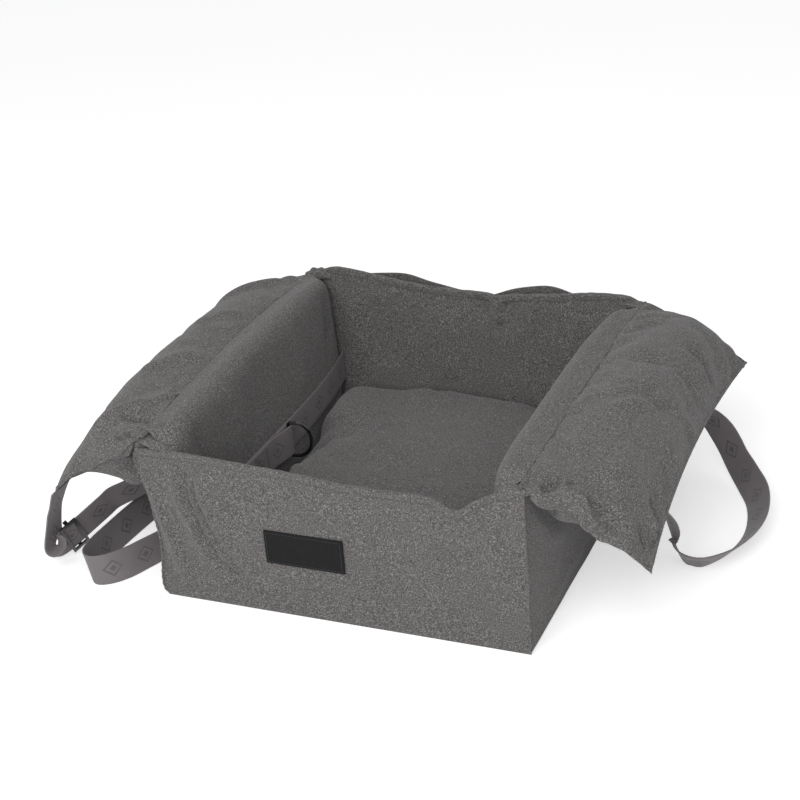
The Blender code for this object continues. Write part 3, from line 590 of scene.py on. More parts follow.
bottom_panel = sew_pillow("bottom_panel", BOTTOM_CUTS, BOTTOM_CUTS, bottom_place)
finish_cloth(bottom_panel, make_base_cloth(), "bottom_cover")

# Side walls.
# Each side is a panel of foam in a heather cover, soft enough to belly out near the floor.
# Its top edge is caught in the crest seam.
HEATHER_COLOUR = (0.118, 0.113, 0.111, 1)
HEATHER_DARK_COLOUR = (0.022, 0.0215, 0.0215, 1)
HEATHER_LIGHT_COLOUR = (0.330, 0.320, 0.314, 1)
HEATHER_WARM_COLOUR = (0.134, 0.122, 0.117, 1)
HEATHER_WARM_SHARE = 0.35
FLECK_NOISE = (600.0, 3.0, 0.75)
SLUB_NOISE = (1150.0, 2.0, 0.6)
TINT_NOISE = (21.0, 4.0)
TINT_SPAN = (0.42, 0.66)
LIGHT_FLECK_SPAN = (0.50, 0.68)
LIGHT_FLECK_SHARE = 0.95
DARK_FLECK_SPAN = (0.50, 0.30)
DARK_FLECK_SHARE = 0.85
SLUB_SPAN = (0.60, 0.80)
SLUB_SHARE = 0.35
SLUB_HEIGHT_SHARE = 0.6
HEATHER_ROUGHNESS = (0.12, 0.84)
HEATHER_SHEEN = 0.18
HEATHER_SHEEN_ROUGHNESS = 0.55
HEATHER_SPECULAR = 0.15
HEATHER_GRAIN = (0.6, 0.0009)
SIDE_CUTS_LONG = 56
SIDE_CUTS_HIGH = 24
SIDE_BELLY = 0.006
SIDE_WAVE = 0.0012
CORNER_FLARE = 0.014
CORNER_FLARE_START_Z = 0.115
CORNER_FLARE_END_Z = 0.190
CORNER_FLARE_REACH = 0.080
CORNER_SLACK = 0.0055
CORNER_SLACK_Z = 0.068
CORNER_SLACK_HALF = 0.036
CORNER_FOOT = 0.007
CORNER_FOOT_HEIGHT = 0.018
CREST_BOW_Y = 0.045
CREST_BOW_REACH = 0.270
CREST_BOW = {"left": (0.007, 0.007), "right": (0.000, 0.002)}
CREST_COVER = 0.0036
CREST_BOW_POWER = 1.5
FOLD_REACH = 3
FOLD_END_POWER = 4
FOLD_END_HOLD = 0.14
FOLD_RIM_HOLD = 0.22
RIPPLE_SHARE = 0.5
RIPPLE_SCALE = 2.3
SIDE_RIM_SHARE = 0.92
SIDE_RIM_TOP_DROP = 0.06
SIDE_RIM_TOP_START = 0.8
SIDE_BELLY_LIFT = 1.15
SIDE_BELLY_POWER = 1.2
SIDE_WAVE_SCALE = 16
SIDE_SEED = 5
FOLD_STRENGTH = 1.9
SEAM_HOLD = 0.35
SIDE_FOLDS = {
    "left": (
        (((-0.200, 0.150), (-0.150, 0.110), (-0.110, 0.060)), 0.014, 0.002),
        (((0.050, 0.160), (0.070, 0.100), (0.065, 0.040)), 0.014, -0.002),
    ),
    "right": (
        (((-0.225, 0.165), (-0.180, 0.120), (-0.120, 0.085)), 0.012, 0.003),
        (((-0.180, 0.020), (-0.120, 0.035), (-0.050, 0.030)), 0.012, 0.002),
        (((0.060, 0.170), (0.050, 0.110), (0.070, 0.050)), 0.014, -0.002),
    ),
}
bed_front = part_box("front_wall")[1].y
bed_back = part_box("back_wall")[0].y
side_front = (bed_front - half_box_depth) / 2
side_back = (bed_back + half_box_depth) / 2
crest_low, crest_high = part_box("right_crest_seam")
crest_x = (crest_low.x + crest_high.x) / 2
crest_z = (crest_low.z + crest_high.z) / 2
side_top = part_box("right_side_cover")[1].z
side_inner_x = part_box("right_side_foam")[0].x


def make_heather(name, warm_share):
    """Return the heathered cloth: fine light and dark flecks over a mid grey."""
    material, shader = new_material(name)
    place = own_place(material)
    fleck = noise_at(material, place, *FLECK_NOISE)
    slub = noise_at(material, place, *SLUB_NOISE)
    tint = noise_at(material, place, *TINT_NOISE)
    warm = sum_of(material, "MULTIPLY", ramped(material, tint, *TINT_SPAN), warm_share)
    colour = mixed(material, warm, HEATHER_COLOUR, HEATHER_WARM_COLOUR)
    dark = sum_of(material, "MULTIPLY", ramped(material, fleck, *DARK_FLECK_SPAN), DARK_FLECK_SHARE)
    colour = mixed(material, dark, colour, HEATHER_DARK_COLOUR)
    light = ramped(material, fleck, *LIGHT_FLECK_SPAN)
    light = sum_of(material, "MULTIPLY", light, LIGHT_FLECK_SHARE)
    colour = mixed(material, light, colour, HEATHER_LIGHT_COLOUR)
    thread = sum_of(material, "MULTIPLY", ramped(material, slub, *SLUB_SPAN), SLUB_SHARE)
    colour = mixed(material, thread, colour, HEATHER_LIGHT_COLOUR)
    link(material, colour, shader, "Base Color")
    link(material, added(material, fleck, *HEATHER_ROUGHNESS), shader, "Roughness")
    shader.inputs["Sheen Weight"].default_value = HEATHER_SHEEN
    shader.inputs["Sheen Roughness"].default_value = HEATHER_SHEEN_ROUGHNESS
    shader.inputs["Specular IOR Level"].default_value = HEATHER_SPECULAR
    raise_grain(material, shader, added(material, slub, SLUB_HEIGHT_SHARE, fleck), *HEATHER_GRAIN)
    return material


def refine(piece, levels):
    """Round a piece off with subdivision and apply it."""
    soft = piece.modifiers.new("soft", "SUBSURF")
    soft.levels = levels
    soft.render_levels = levels
    apply_modifiers(piece)


def stroke_height(point, strokes):
    """Return how far the cloth stands up at a point of its panel.

    A stroke is the line of a fold, its half width and its height, below zero for a valley.
    """
    total = 0
    for line, half_width, height in strokes:
        nearest = None
        for index in range(len(line) - 1):
            start = Vector(line[index])
            leg = Vector(line[index + 1]) - start
            share = (point - start).dot(leg) / leg.length_squared
            share = min(1, max(0, share))
            gap = (point - start - leg * share).length
            if nearest is None or gap < nearest[0]:
                nearest = (gap, (index + share) / (len(line) - 1))
        gap, run = nearest
        if gap < FOLD_REACH * half_width:
            fade = 1 - (2 * run - 1) ** FOLD_END_POWER
            total += FOLD_STRENGTH * height * fade * bell(gap, 0, half_width)
    return total


def press_folds(piece, strokes, where, undulation, undulation_scale, seed, pucker=None):
    """Move the points of a finished piece along their normals, by its folds and soft waves.

    where(panel) gives the point on the panel in metres, or None on the hidden sheet, and
    pucker(panel) gives the height of the small gathers along its seams.
    """
    panel = [item.vector.copy() for item in piece.data.attributes["panel"].data]
    shifts = []
    for vertex in piece.data.vertices:
        spot = where(panel[vertex.index])
        if spot is None:
            shifts.append(0)
            continue
        wave = noise.noise(vertex.co * undulation_scale + Vector((seed, 0, 0)))
        ripple_place = vertex.co * undulation_scale * RIPPLE_SCALE + Vector((0, seed, 0))
        wave += RIPPLE_SHARE * noise.noise(ripple_place)
        gather = pucker(panel[vertex.index]) if pucker else 0
        from_end = 1 - abs(panel[vertex.index].x)
        from_rim = 1 - abs(panel[vertex.index].y)
        free = eased(from_end, 0, FOLD_END_HOLD) * eased(from_rim, 0, FOLD_RIM_HOLD)
        height = stroke_height(spot, strokes) * (SEAM_HOLD + (1 - SEAM_HOLD) * free)
        shifts.append(height + wave * undulation * free + gather)
    normals = [vertex.normal.copy() for vertex in piece.data.vertices]
    for vertex, normal, shift in zip(piece.data.vertices, normals, shifts):
        vertex.co += normal * shift


def bell(value, centre, half_width):
    """Rise to 1 at a centre and fall off to both sides of it."""
    return math.exp(-(((value - centre) / half_width) ** 2))


def eased(value, low, high):
    """Go smoothly from 0 to 1 as a value goes from low to high."""
    share = min(1, max(0, (value - low) / (high - low)))
    return share * share * (3 - 2 * share)


def crest_bow(side, y):
    """Say how far one side's crest stands outwards and up from the straight hinge line."""
    share = min(1, abs(y - CREST_BOW_Y) / CREST_BOW_REACH)
    bow = (1 - share ** 2) ** CREST_BOW_POWER
    return CREST_BOW[side][0] * bow, CREST_BOW[side][1] * bow


def corner_flare(x, y, z):
    """Say how far the front left corner leans out at a point of the walls."""
    near_front = eased(-y, half_box_depth - 2 * CORNER_FLARE_REACH, half_box_depth)
    near_left = eased(-x, half_box_width - CORNER_FLARE_REACH, half_box_width)
    lean = -CORNER_FLARE * eased(z, CORNER_FLARE_START_Z, CORNER_FLARE_END_Z)
    lean += CORNER_SLACK * bell(z, CORNER_SLACK_Z, CORNER_SLACK_HALF)
    lean += CORNER_FOOT * max(0, 1 - z / CORNER_FOOT_HEIGHT) ** 2
    return lean * near_front * near_left


def side_place(sign):
    """Return the function that bends one side panel's sheets."""

    def place(long_share, wide_share, face):
        """Return the spot for a share along, a share across and a face."""
        long = crowded(long_share)
        high = (1 + crowded(wide_share)) / 2
        y = (side_front + side_back) / 2 + long * (side_back - side_front) / 2
        z = WALL_FOOT_Z + high * (side_top - WALL_FOOT_Z)
        fill = panel_fill(long) * panel_fill(2 * high - 1)
        outer = half_box_width - side_inner_x
        rim_drop = SIDE_RIM_TOP_DROP * eased(high, SIDE_RIM_TOP_START, 1)
        rim_x = side_inner_x + outer * (SIDE_RIM_SHARE - rim_drop)
        middle = side_inner_x + outer / 2
        lifted = math.sin(math.pi * min(1, high * SIDE_BELLY_LIFT))
        belly = SIDE_BELLY * (1 - long ** 4) * lifted ** SIDE_BELLY_POWER
        x = rim_x + (middle - rim_x) * fill + face * fill * outer / 2
        if face > 0:
            x += belly * fill
        return (sign * x + corner_flare(sign * x, y, z), y, z)

    return place


def side_spot(panel):
    """Return where a point of a side panel's outer sheet lies, in metres."""
    along = crowded(panel.x)
    y = (side_front + side_back) / 2 + along * (side_back - side_front) / 2
    high = (1 + crowded(panel.y)) / 2
    return Vector((y, WALL_FOOT_Z + high * (side_top - WALL_FOOT_Z)))


heather = make_heather("heather_cloth_grey", HEATHER_WARM_SHARE)
for side_name, side_sign in (("left", -1), ("right", 1)):
    name = side_name + "_side_panel"
    side_panel = sew_pillow(name, SIDE_CUTS_LONG, SIDE_CUTS_HIGH, side_place(side_sign))
    refine(side_panel, 1)
    folds = SIDE_FOLDS[side_name]
    seed = SIDE_SEED + side_sign
    press_folds(side_panel, folds, side_spot, SIDE_WAVE, SIDE_WAVE_SCALE, seed)
    dress(side_panel, heather, "seat")
    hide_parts(side_name + "_side_cover", side_name + "_side_foam")

# Front wall.
# A padded upright panel of the same cloth. It is slack: its top edge sags, its left end folds
# where the corner leans out, and near its right end the edge dips and rolls outwards.
WALL_CUTS_LONG = 88
WALL_CUTS_HIGH = 36
FRONT_WAVE = 0.0013
FRONT_SEED = 11
FRONT_HEM_SEED = 12
WALL_WAVE_SCALE = 14
HEM_WAVE = 0.0007
HEM_WAVE_SCALE = 60
HEM_END_INSET = 0.001
HEM_ROUND_POWER = 6
HEM_HALF_HEIGHT = 0.0056
HEM_HALF = 0.0029
HEM_PROUD = 0.0004
WALL_TAPER = 0.030
WALL_RIM_INSET = 0.0010
HEM_CUTS_LONG = 110
HEM_CUTS_HIGH = 8
FRONT_TOP = (
    (-0.235, 0.190),
    (-0.190, 0.191),
    (-0.152, 0.190),
    (-0.103, 0.187),
    (-0.041, 0.184),
    (0.018, 0.179),
    (0.078, 0.178),
    (0.120, 0.178),
    (0.149, 0.170),
    (0.176, 0.187),
    (0.205, 0.197),
    (0.225, 0.198),
)
FRONT_ROLL_X = 0.156
FRONT_ROLL_WIDTH = 0.026
FRONT_ROLL_DEPTH = 0.030
FRONT_ROLL = 0.007
LEFT_END_FOLD = ((-0.167, 0.180), (-0.171, 0.134), (-0.160, 0.097), (-0.138, 0.060), (-0.105, 0.030))
FRONT_FOLDS = (
    (LEFT_END_FOLD, 0.007, -0.0044),
    (((-0.182, 0.178), (-0.186, 0.134), (-0.174, 0.090), (-0.155, 0.050)), 0.008, 0.0026),
    (((-0.156, 0.172), (-0.156, 0.130), (-0.145, 0.097)), 0.008, 0.0020),
    (((-0.222, 0.165), (-0.214, 0.110), (-0.205, 0.065), (-0.190, 0.020)), 0.008, 0.0030),
    (((0.060, 0.150), (0.075, 0.100), (0.070, 0.050)), 0.022, -0.0016),
    (((0.130, 0.160), (0.118, 0.120), (0.120, 0.075)), 0.014, 0.0022),
    (((0.176, 0.165), (0.190, 0.120), (0.200, 0.070)), 0.012, 0.0025),
    (((-0.060, 0.160), (-0.030, 0.140), (0.020, 0.136)), 0.012, 0.0012),
    (((-0.100, 0.058), (-0.030, 0.052), (0.050, 0.046)), 0.012, 0.0012),
)
front_face_y = -half_box_depth
front_mid_y = (front_face_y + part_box("front_wall")[1].y) / 2
front_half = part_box("front_wall")[1].y - front_mid_y
front_rim_y = front_face_y + WALL_RIM_INSET


def curve_height(points, x):
    """Return the height of a smooth edge at x, from its points."""
    xs, zs = zip(*points)
    if x <= xs[0]:
        return zs[0]
    if x >= xs[-1]:
        return zs[-1]
    index = max(i for i in range(len(xs) - 1) if xs[i] <= x)
    share = (x - xs[index]) / (xs[index + 1] - xs[index])
    before = zs[max(index - 1, 0)]
    after = zs[min(index + 2, len(zs) - 1)]
    return smooth_point(before, zs[index], zs[index + 1], after, share)


def front_edge(x):
    """Return the height of the front wall's top edge."""
    return curve_height(FRONT_TOP, x)


def front_lean(x, below):
    """Say how far the front wall's edge rolls outwards, where it dips near its right end."""
    over = bell(x, FRONT_ROLL_X, FRONT_ROLL_WIDTH)
    return -FRONT_ROLL * over * bell(below, 0, FRONT_ROLL_DEPTH)


def wall_point(edge, rim_y, mid_y, half, taper, shares):
    """Return a point of a wall's sheets, and how far it lies below their top."""
    long = crowded(shares[0])
    high = (1 + crowded(shares[1])) / 2
    x = long * half_box_width
    top = edge(x) - HEM_HALF_HEIGHT
    z = WALL_FOOT_Z + high * (top - WALL_FOOT_Z)
    fill = panel_fill(long) * panel_fill(min(0, 2 * high - 1))
    half += (HEM_HALF - half) * eased(z, top - taper, top)
    y = rim_y + (mid_y - rim_y) * fill + shares[2] * half * fill
    return x, y, z, top - z


def wall_spot(edge):
    """Return the function that says where a point of a wall lies, in metres."""

    def spot(panel):
        """Return the spot of one point."""
        x = crowded(panel.x) * half_box_width
        high = (1 + crowded(panel.y)) / 2
        return Vector((x, WALL_FOOT_Z + high * (edge(x) - HEM_HALF_HEIGHT - WALL_FOOT_Z)))

    return spot


def hem_point(edge, mid_y, shares):
    """Return a point of a hem's sheets, turned round its wall's top edge."""
    long = crowded(shares[0])
    high = crowded(shares[1])
    x = long * (half_box_width - HEM_END_INSET)
    z = edge(x) - HEM_HALF_HEIGHT + high * HEM_HALF_HEIGHT
    round_off = max(0, 1 - abs(high) ** HEM_ROUND_POWER) ** 0.5 * panel_fill(long)
    return x, mid_y + shares[2] * (HEM_HALF + HEM_PROUD) * round_off, z


def hem_spot(panel):
    """Return where a point of a hem lies, in metres."""
    return Vector((crowded(panel.x) * half_box_width, panel.y * HEM_HALF_HEIGHT))


def front_place(*shares):
    """Bend the front wall's sheets."""
    sizes = (front_rim_y, front_mid_y, front_half, WALL_TAPER)
    x, y, z, below = wall_point(front_edge, *sizes, shares)
    return (x + corner_flare(x, front_face_y, z), y + front_lean(x, below), z)


def front_hem_place(*shares):
    """Bend the front hem's sheets."""
    x, y, z = hem_point(front_edge, front_mid_y, shares)
    return (x + corner_flare(x, front_face_y, z), y + front_lean(x, 0), z)


def sew_wall(name, node, place, folds, spot, wave, seed):
    """Sew, fold and dress one wall."""
    wall = sew_pillow(name, WALL_CUTS_LONG, WALL_CUTS_HIGH, place)
    refine(wall, 1)
    press_folds(wall, folds, spot, wave, WALL_WAVE_SCALE, seed)
    finish_cloth(wall, heather, node)


def sew_hem(name, node, place, seed):
    """Sew and dress one hem."""
    hem = sew_pillow(name, HEM_CUTS_LONG, HEM_CUTS_HIGH, place)
    refine(hem, 1)
    press_folds(hem, (), hem_spot, HEM_WAVE, HEM_WAVE_SCALE, seed)
    finish_cloth(hem, heather, node)


front_spot = wall_spot(front_edge)
sew_wall(
    "front_wall_panel", "front_wall", front_place, FRONT_FOLDS, front_spot, FRONT_WAVE, FRONT_SEED
)
sew_hem("front_hem_fold", "front_hem", front_hem_place, FRONT_HEM_SEED)

# Back wall.
# A thicker padded panel. Its top edge sags a little in the middle, where one pucker draws it
# in, and its hem is turned like the front one.
BACK_WAVE = 0.0012
BACK_SEED = 17
BACK_HEM_SEED = 18
BACK_TAPER_SHARE = 1.6
BACK_TOP = (
    (-0.225, 0.208),
    (-0.212, 0.219),
    (-0.190, 0.2245),
    (-0.139, 0.2190),
    (-0.083, 0.211),
    (-0.028, 0.208),
    (0.018, 0.207),
    (0.033, 0.2045),
    (0.048, 0.208),
    (0.113, 0.214),
    (0.166, 0.2205),
    (0.205, 0.2200),
    (0.216, 0.215),
    (0.225, 0.208),
)
BACK_FOLDS = (
    (((0.033, 0.204), (0.029, 0.185), (0.037, 0.165)), 0.006, -0.0034),
    (((0.047, 0.200), (0.050, 0.180), (0.048, 0.160)), 0.007, 0.0020),
    (((0.019, 0.198), (0.014, 0.175)), 0.007, 0.0024),
    (((-0.130, 0.190), (-0.120, 0.140), (-0.135, 0.090)), 0.020, 0.0020),
    (((-0.040, 0.185), (-0.045, 0.130), (-0.030, 0.080)), 0.016, -0.0018),
    (((0.095, 0.190), (0.090, 0.140), (0.105, 0.090)), 0.018, 0.0020),
    (((0.170, 0.195), (0.180, 0.140)), 0.014, -0.0018),
)
back_mid_y = (half_box_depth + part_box("back_wall")[0].y) / 2
back_half = half_box_depth - back_mid_y
back_rim_y = half_box_depth - WALL_RIM_INSET


def back_edge(x):
    """Return the height of the back wall's top edge."""
    return curve_height(BACK_TOP, x)


def back_place(long_share, wide_share, face):
    """Bend the back wall's sheets. Its first sheet faces the bed."""
    sizes = (back_rim_y, back_mid_y, back_half, BACK_TAPER_SHARE * WALL_TAPER)
    return wall_point(back_edge, *sizes, (long_share, wide_share, -face))[:3]


def back_hem_place(long_share, wide_share, face):
    """Bend the back hem's sheets."""
    return hem_point(back_edge, back_mid_y, (long_share, wide_share, -face))


back_spot = wall_spot(back_edge)
sew_wall("back_wall_panel", "back_wall", back_place, BACK_FOLDS, back_spot, BACK_WAVE, BACK_SEED)
sew_hem("back_hem_fold", "back_hem", back_hem_place, BACK_HEM_SEED)

# Side bolsters.
# A long pillow lies inside each side wall, from the floor to the crest seam. It is full along
# its middle, rolls over at the top and is pinched where it meets the end walls.
BOLSTER_THICKNESS = 0.033
BOLSTER_FRONT_PINCH_SHARE = 0.16
BOLSTER_BACK_PINCH_SHARE = 0.50
BOLSTER_PINCH_POWER = 3
BOLSTER_CUTS_LONG = 72
BOLSTER_CUTS_ROUND = 44
BOLSTER_RIM_INSET = 0.004
CREST_GAP = -0.0007
BOLSTER_WAVE = 0.0010
BOLSTER_WAVE_SCALE = 18
BOLSTER_SEED = 23
BOLSTER_FOAM_GAP = 0.0003
BOLSTER_CREST_START = 0.55
BOLSTER_BACK_CREST_START = 0.96
BOLSTER_RIM_CREST_START = 0.90
BOLSTER_PINCHED_ROLL = 0.4
BOLSTER_FACE_ROWS = slice(6, 15)
BOLSTER_SECTION_SHARES = (
    (-0.43, 1.0205),
    (-0.20, 1.027),
    (0.06, 1.036),
    (0.24, 1.043),
    (0.44, 1.040),
    (0.62, 1.027),
    (0.76, 1.004),
    (0.87, 0.964),
    (0.93, 0.908),
    (0.957, 0.835),
    (0.970, 0.730),
    (0.983, 0.608),
    (0.995, 0.433),
    (1.00, 0.256),
    (0.99, 0.130),
    (0.95, 0.060),
    (0.86, 0.018),
    (0.70, 0.000),
    (0.24, 0.000),
)
BOLSTER_FOLDS = {
    "left": (
        (((-0.190, 0.205), (-0.180, 0.150), (-0.170, 0.120)), 0.010, -0.0025),
        (((-0.110, 0.205), (-0.095, 0.160), (-0.100, 0.130)), 0.014, 0.0018),
        (((-0.020, 0.205), (-0.030, 0.160), (-0.020, 0.125)), 0.016, -0.0016),
        (((0.070, 0.205), (0.080, 0.160), (0.070, 0.120)), 0.014, 0.0016),
        (((0.190, 0.205), (0.180, 0.160), (0.165, 0.120)), 0.012, -0.0025),
    ),
    "right": (
        (((-0.185, 0.205), (-0.170, 0.150)), 0.012, -0.0025),
        (((-0.050, 0.205), (-0.040, 0.150)), 0.016, 0.0018),
        (((0.080, 0.205), (0.075, 0.150)), 0.014, -0.0018),
        (((0.190, 0.205), (0.175, 0.150)), 0.012, -0.0025),
    ),
}
bolster_low, bolster_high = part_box("right_bolster")
bolster_outer_x = side_inner_x - BOLSTER_FOAM_GAP
bolster_mid_y = (bolster_low.y + bolster_high.y) / 2
bolster_half_length = (bolster_high.y - bolster_low.y) / 2
bolster_height = crest_z - bolster_low.z


def bolster_fill(y):
    """Say how thick a bolster is at a depth, from 1 at its middle to its pinched end."""
    share = min(1, abs(y - bolster_mid_y) / bolster_half_length)
    pinch = BOLSTER_BACK_PINCH_SHARE if y > bolster_mid_y else BOLSTER_FRONT_PINCH_SHARE
    return 1 - pinch * share ** BOLSTER_PINCH_POWER


def section_point(run):
    """Return the inward and upward share of the bolster's section, from crest to bottom."""
    last = len(BOLSTER_SECTION_SHARES) - 1
    index = min(last - 1, int(run * last))
    rows = (max(index - 1, 0), index, index + 1, min(index + 2, last))
    corners = [Vector(BOLSTER_SECTION_SHARES[row]) for row in rows]
    return smooth_point(*corners, run * last - index)


def bolster_place(side, sign):
    """Return the function that bends one bolster's two sheets."""
    crest_top = (crest_x - CREST_GAP, 1 + CREST_COVER / bolster_height)

    def place(long_share, wide_share, face):
        """Return the spot for a share along, a share across and a face."""
        long = crowded(long_share)
        run = (1 - wide_share) / 2
        y = bolster_mid_y + long * bolster_half_length
        inward, up = section_point(run)
        flat_up = 1 - run
        fill = bolster_fill(y)
        out, rise = crest_bow(side, y)
        near_crest = eased(up, BOLSTER_CREST_START, 1)
        end = panel_fill(long)
        if face >= 0:
            x = bolster_outer_x - inward * BOLSTER_THICKNESS * (fill if inward > 0 else 1)
            roll = BOLSTER_PINCHED_ROLL + (1 - BOLSTER_PINCHED_ROLL) * fill
            z = up if up < 1 else 1 + (up - 1) * roll
        else:
            share = eased(flat_up, BOLSTER_BACK_CREST_START, 1)
            x = bolster_outer_x + (crest_top[0] - bolster_outer_x) * share
            z = flat_up
        rim_x = bolster_outer_x - BOLSTER_RIM_INSET
        share = eased(flat_up, BOLSTER_RIM_CREST_START, 1)
        rim_x += (crest_top[0] - rim_x) * share
        rim_z = flat_up + (crest_top[1] - flat_up) * share
        x = rim_x + (x - rim_x) * end
        z = rim_z + (z - rim_z) * end
        if run < 1 - SHEET_EDGE_SHARE:
            x, z = crest_top
        x += out * near_crest
        z += rise * near_crest / bolster_height
        return (sign * x, y, bolster_low.z + z * bolster_height)

    return place


def bolster_spot(panel):
    """Return where a point of a bolster's inner sheet lies, in metres."""
    y = bolster_mid_y + crowded(panel.x) * bolster_half_length
    up = section_point(min(1, max(0, (1 - panel.y) / 2)))[1]
    return Vector((y, bolster_low.z + up * bolster_height))


for side_name, side_sign in (("left", -1), ("right", 1)):
    name = side_name + "_bolster_pillow"
    place = bolster_place(side_name, side_sign)
    bolster = sew_pillow(name, BOLSTER_CUTS_LONG, BOLSTER_CUTS_ROUND, place)
    folds = BOLSTER_FOLDS[side_name]
    seed = BOLSTER_SEED + side_sign
    press_folds(bolster, folds, bolster_spot, BOLSTER_WAVE, BOLSTER_WAVE_SCALE, seed)
    refine(bolster, 1)
    finish_cloth(bolster, heather, side_name + "_bolster")

# Tether.
# A strap of the webbing runs along the left bolster from end wall to end wall, for the dog's
# safety lead. A shorter strap is sewn on it, and folds back round the bar of a black D-ring.
TETHER_CENTRE_Z = 0.086
TETHER_GAP = 0.0005
PLY_GAP = 0.0003
TETHER_STEPS = 60
RING_BAR_Y = 0.006
RING_WIRE_RADIUS = 0.0022
KEEPER_LENGTH = 0.140
KEEPER_TAIL = 0.025
KEEPER_SETTLE = 0.045
KEEPER_TAIL_STEPS = 4
KEEPER_WRAP_STEPS = 10
KEEPER_EASE_STEPS = 9
KEEPER_RUN_STEPS = 14
THREAD_RADIUS = 0.00035
THREAD_LENGTH = 0.0027
THREAD_PITCH = 0.0038
THREAD_ROD_SIDES = 6
THREAD_ROUGHNESS = (0.2, 0.4)
THREAD_GRAIN = (0.4, 0.0002)
TWIST_NOISE = (2600.0, 2.0)
TWIST_SPAN = (0.35, 0.65)
TWIST_DARK_SHARE = 0.55
SHORTEST_LEG = 1e-6
TETHER_THREAD_COLOUR = (0.120, 0.108, 0.110, 1)
TETHER_THREAD_LIFT = 0.6
BOX_STITCH_INSET = 0.004
BOX_STITCH_SHARES = ((0.40, 0.62), (0.80, 0.98))
RING_COLOUR = (0.012, 0.012, 0.013, 1)
RING_WORN_COLOUR = (0.080, 0.080, 0.085, 1)
RING_ROUGHNESS = 0.16
RING_SCRATCH_SCALE = 500.0


def bolster_face(y, z):
    """Return how far out the left bolster's inner face is at a depth and a height."""
    up = (z - bolster_low.z) / bolster_height
    rows = BOLSTER_SECTION_SHARES[BOLSTER_FACE_ROWS]
    for (far, high), (near, low) in zip(rows, rows[1:]):
        if low <= up <= high:
            inward = near + (far - near) * (up - low) / (high - low)
            return bolster_outer_x - inward * BOLSTER_THICKNESS * bolster_fill(y)
    return bolster_outer_x - BOLSTER_THICKNESS * bolster_fill(y)


def tether_place(y, lift):
    """Return a point on the left bolster's inner face, lifted off it, and the face's lean."""
    low_z = TETHER_CENTRE_Z - WEBBING_WIDTH / 2
    high_z = TETHER_CENTRE_Z + WEBBING_WIDTH / 2
    low = Vector((-bolster_face(y, low_z), y, low_z))
    high = Vector((-bolster_face(y, high_z), y, high_z))
    lean = (high - low).normalized()
    outward = Vector((lean.z, 0, -lean.x))
    return (low + high) / 2 + outward * lift, lean


def make_thread(name, colour):
    """Return sewing thread, twisted and a little shiny."""
    material, shader = new_material(name)
    twist = noise_at(material, own_place(material), *TWIST_NOISE)
    dark = tuple(part * TWIST_DARK_SHARE for part in colour[:3]) + (1,)
    share = ramped(material, twist, *TWIST_SPAN)
    link(material, mixed(material, share, dark, colour), shader, "Base Color")
    link(material, added(material, twist, *THREAD_ROUGHNESS), shader, "Roughness")
    raise_grain(material, shader, twist, *THREAD_GRAIN)
    return material


def sew_stitches(name, lines, material, body):
    """Sew a row of stitches along each line of points, one small rod to a stitch."""
    rods = bmesh.new()
    for line in lines:
        spare = THREAD_PITCH / 2
        for start, end in zip(line, line[1:]):
            leg = end - start
            if leg.length < SHORTEST_LEG:
                continue
            turn = leg.to_track_quat("Z", "Y").to_matrix().to_4x4()
            run = spare
            while run < leg.length:
                middle = start + leg * (run / leg.length)
                bmesh.ops.create_cone(
                    rods,
                    cap_ends=True,
                    segments=THREAD_ROD_SIDES,
                    radius1=THREAD_RADIUS,
                    radius2=THREAD_RADIUS,
                    depth=THREAD_LENGTH,
                    matrix=Matrix.Translation(middle) @ turn,
                )
                run += THREAD_PITCH
            spare = run - leg.length
    mesh = bpy.data.meshes.new(name)
    rods.to_mesh(mesh)
    rods.free()
    row = bpy.data.objects.new(name, mesh)
    bpy.context.scene.collection.objects.link(row)
    bpy.context.view_layer.objects.active = row
    mesh.materials.append(material)
    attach(row, body)
    return row


strap_lift = TETHER_GAP + WEBBING_THICKNESS / 2
tether_stations = []
for step in range(TETHER_STEPS + 1):
    share = math.sin((step / TETHER_STEPS - 0.5) * math.pi) / 2 + 0.5
    depth = bolster_low.y + 2 * bolster_half_length * share
    tether_stations.append(tether_place(depth, strap_lift))
tether = lay_band("tether_webbing", tether_stations, WEBBING_WIDTH, WEBBING_THICKNESS, taupe_webbing)
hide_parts("tether_strap")
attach(tether, "seat")

tail_lift = strap_lift + WEBBING_THICKNESS + PLY_GAP
wrap_radius = RING_WIRE_RADIUS + PLY_GAP + WEBBING_THICKNESS / 2
bar_lift = tail_lift + wrap_radius
folded = []
for step in range(KEEPER_TAIL_STEPS):
    folded.append((-KEEPER_TAIL * (1 - step / KEEPER_TAIL_STEPS), tail_lift))
for step in range(KEEPER_WRAP_STEPS + 1):
    turn = math.pi * step / KEEPER_WRAP_STEPS
    folded.append((wrap_radius * math.sin(turn), bar_lift - wrap_radius * math.cos(turn)))
for step in range(1, KEEPER_EASE_STEPS + 1):
    share = step / KEEPER_EASE_STEPS
    folded.append((-KEEPER_SETTLE * share, tail_lift + 2 * wrap_radius * (1 - eased(share, 0, 1))))
for step in range(1, KEEPER_RUN_STEPS + 1):
    forward = KEEPER_SETTLE + (KEEPER_LENGTH - KEEPER_SETTLE) * step / KEEPER_RUN_STEPS
    folded.append((-forward, tail_lift))
keeper_stations = [tether_place(RING_BAR_Y + back, lift) for back, lift in folded]
keeper = lay_band("keeper_webbing", keeper_stations, WEBBING_WIDTH, WEBBING_THICKNESS, taupe_webbing)
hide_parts("ring_keeper")
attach(keeper, "seat")

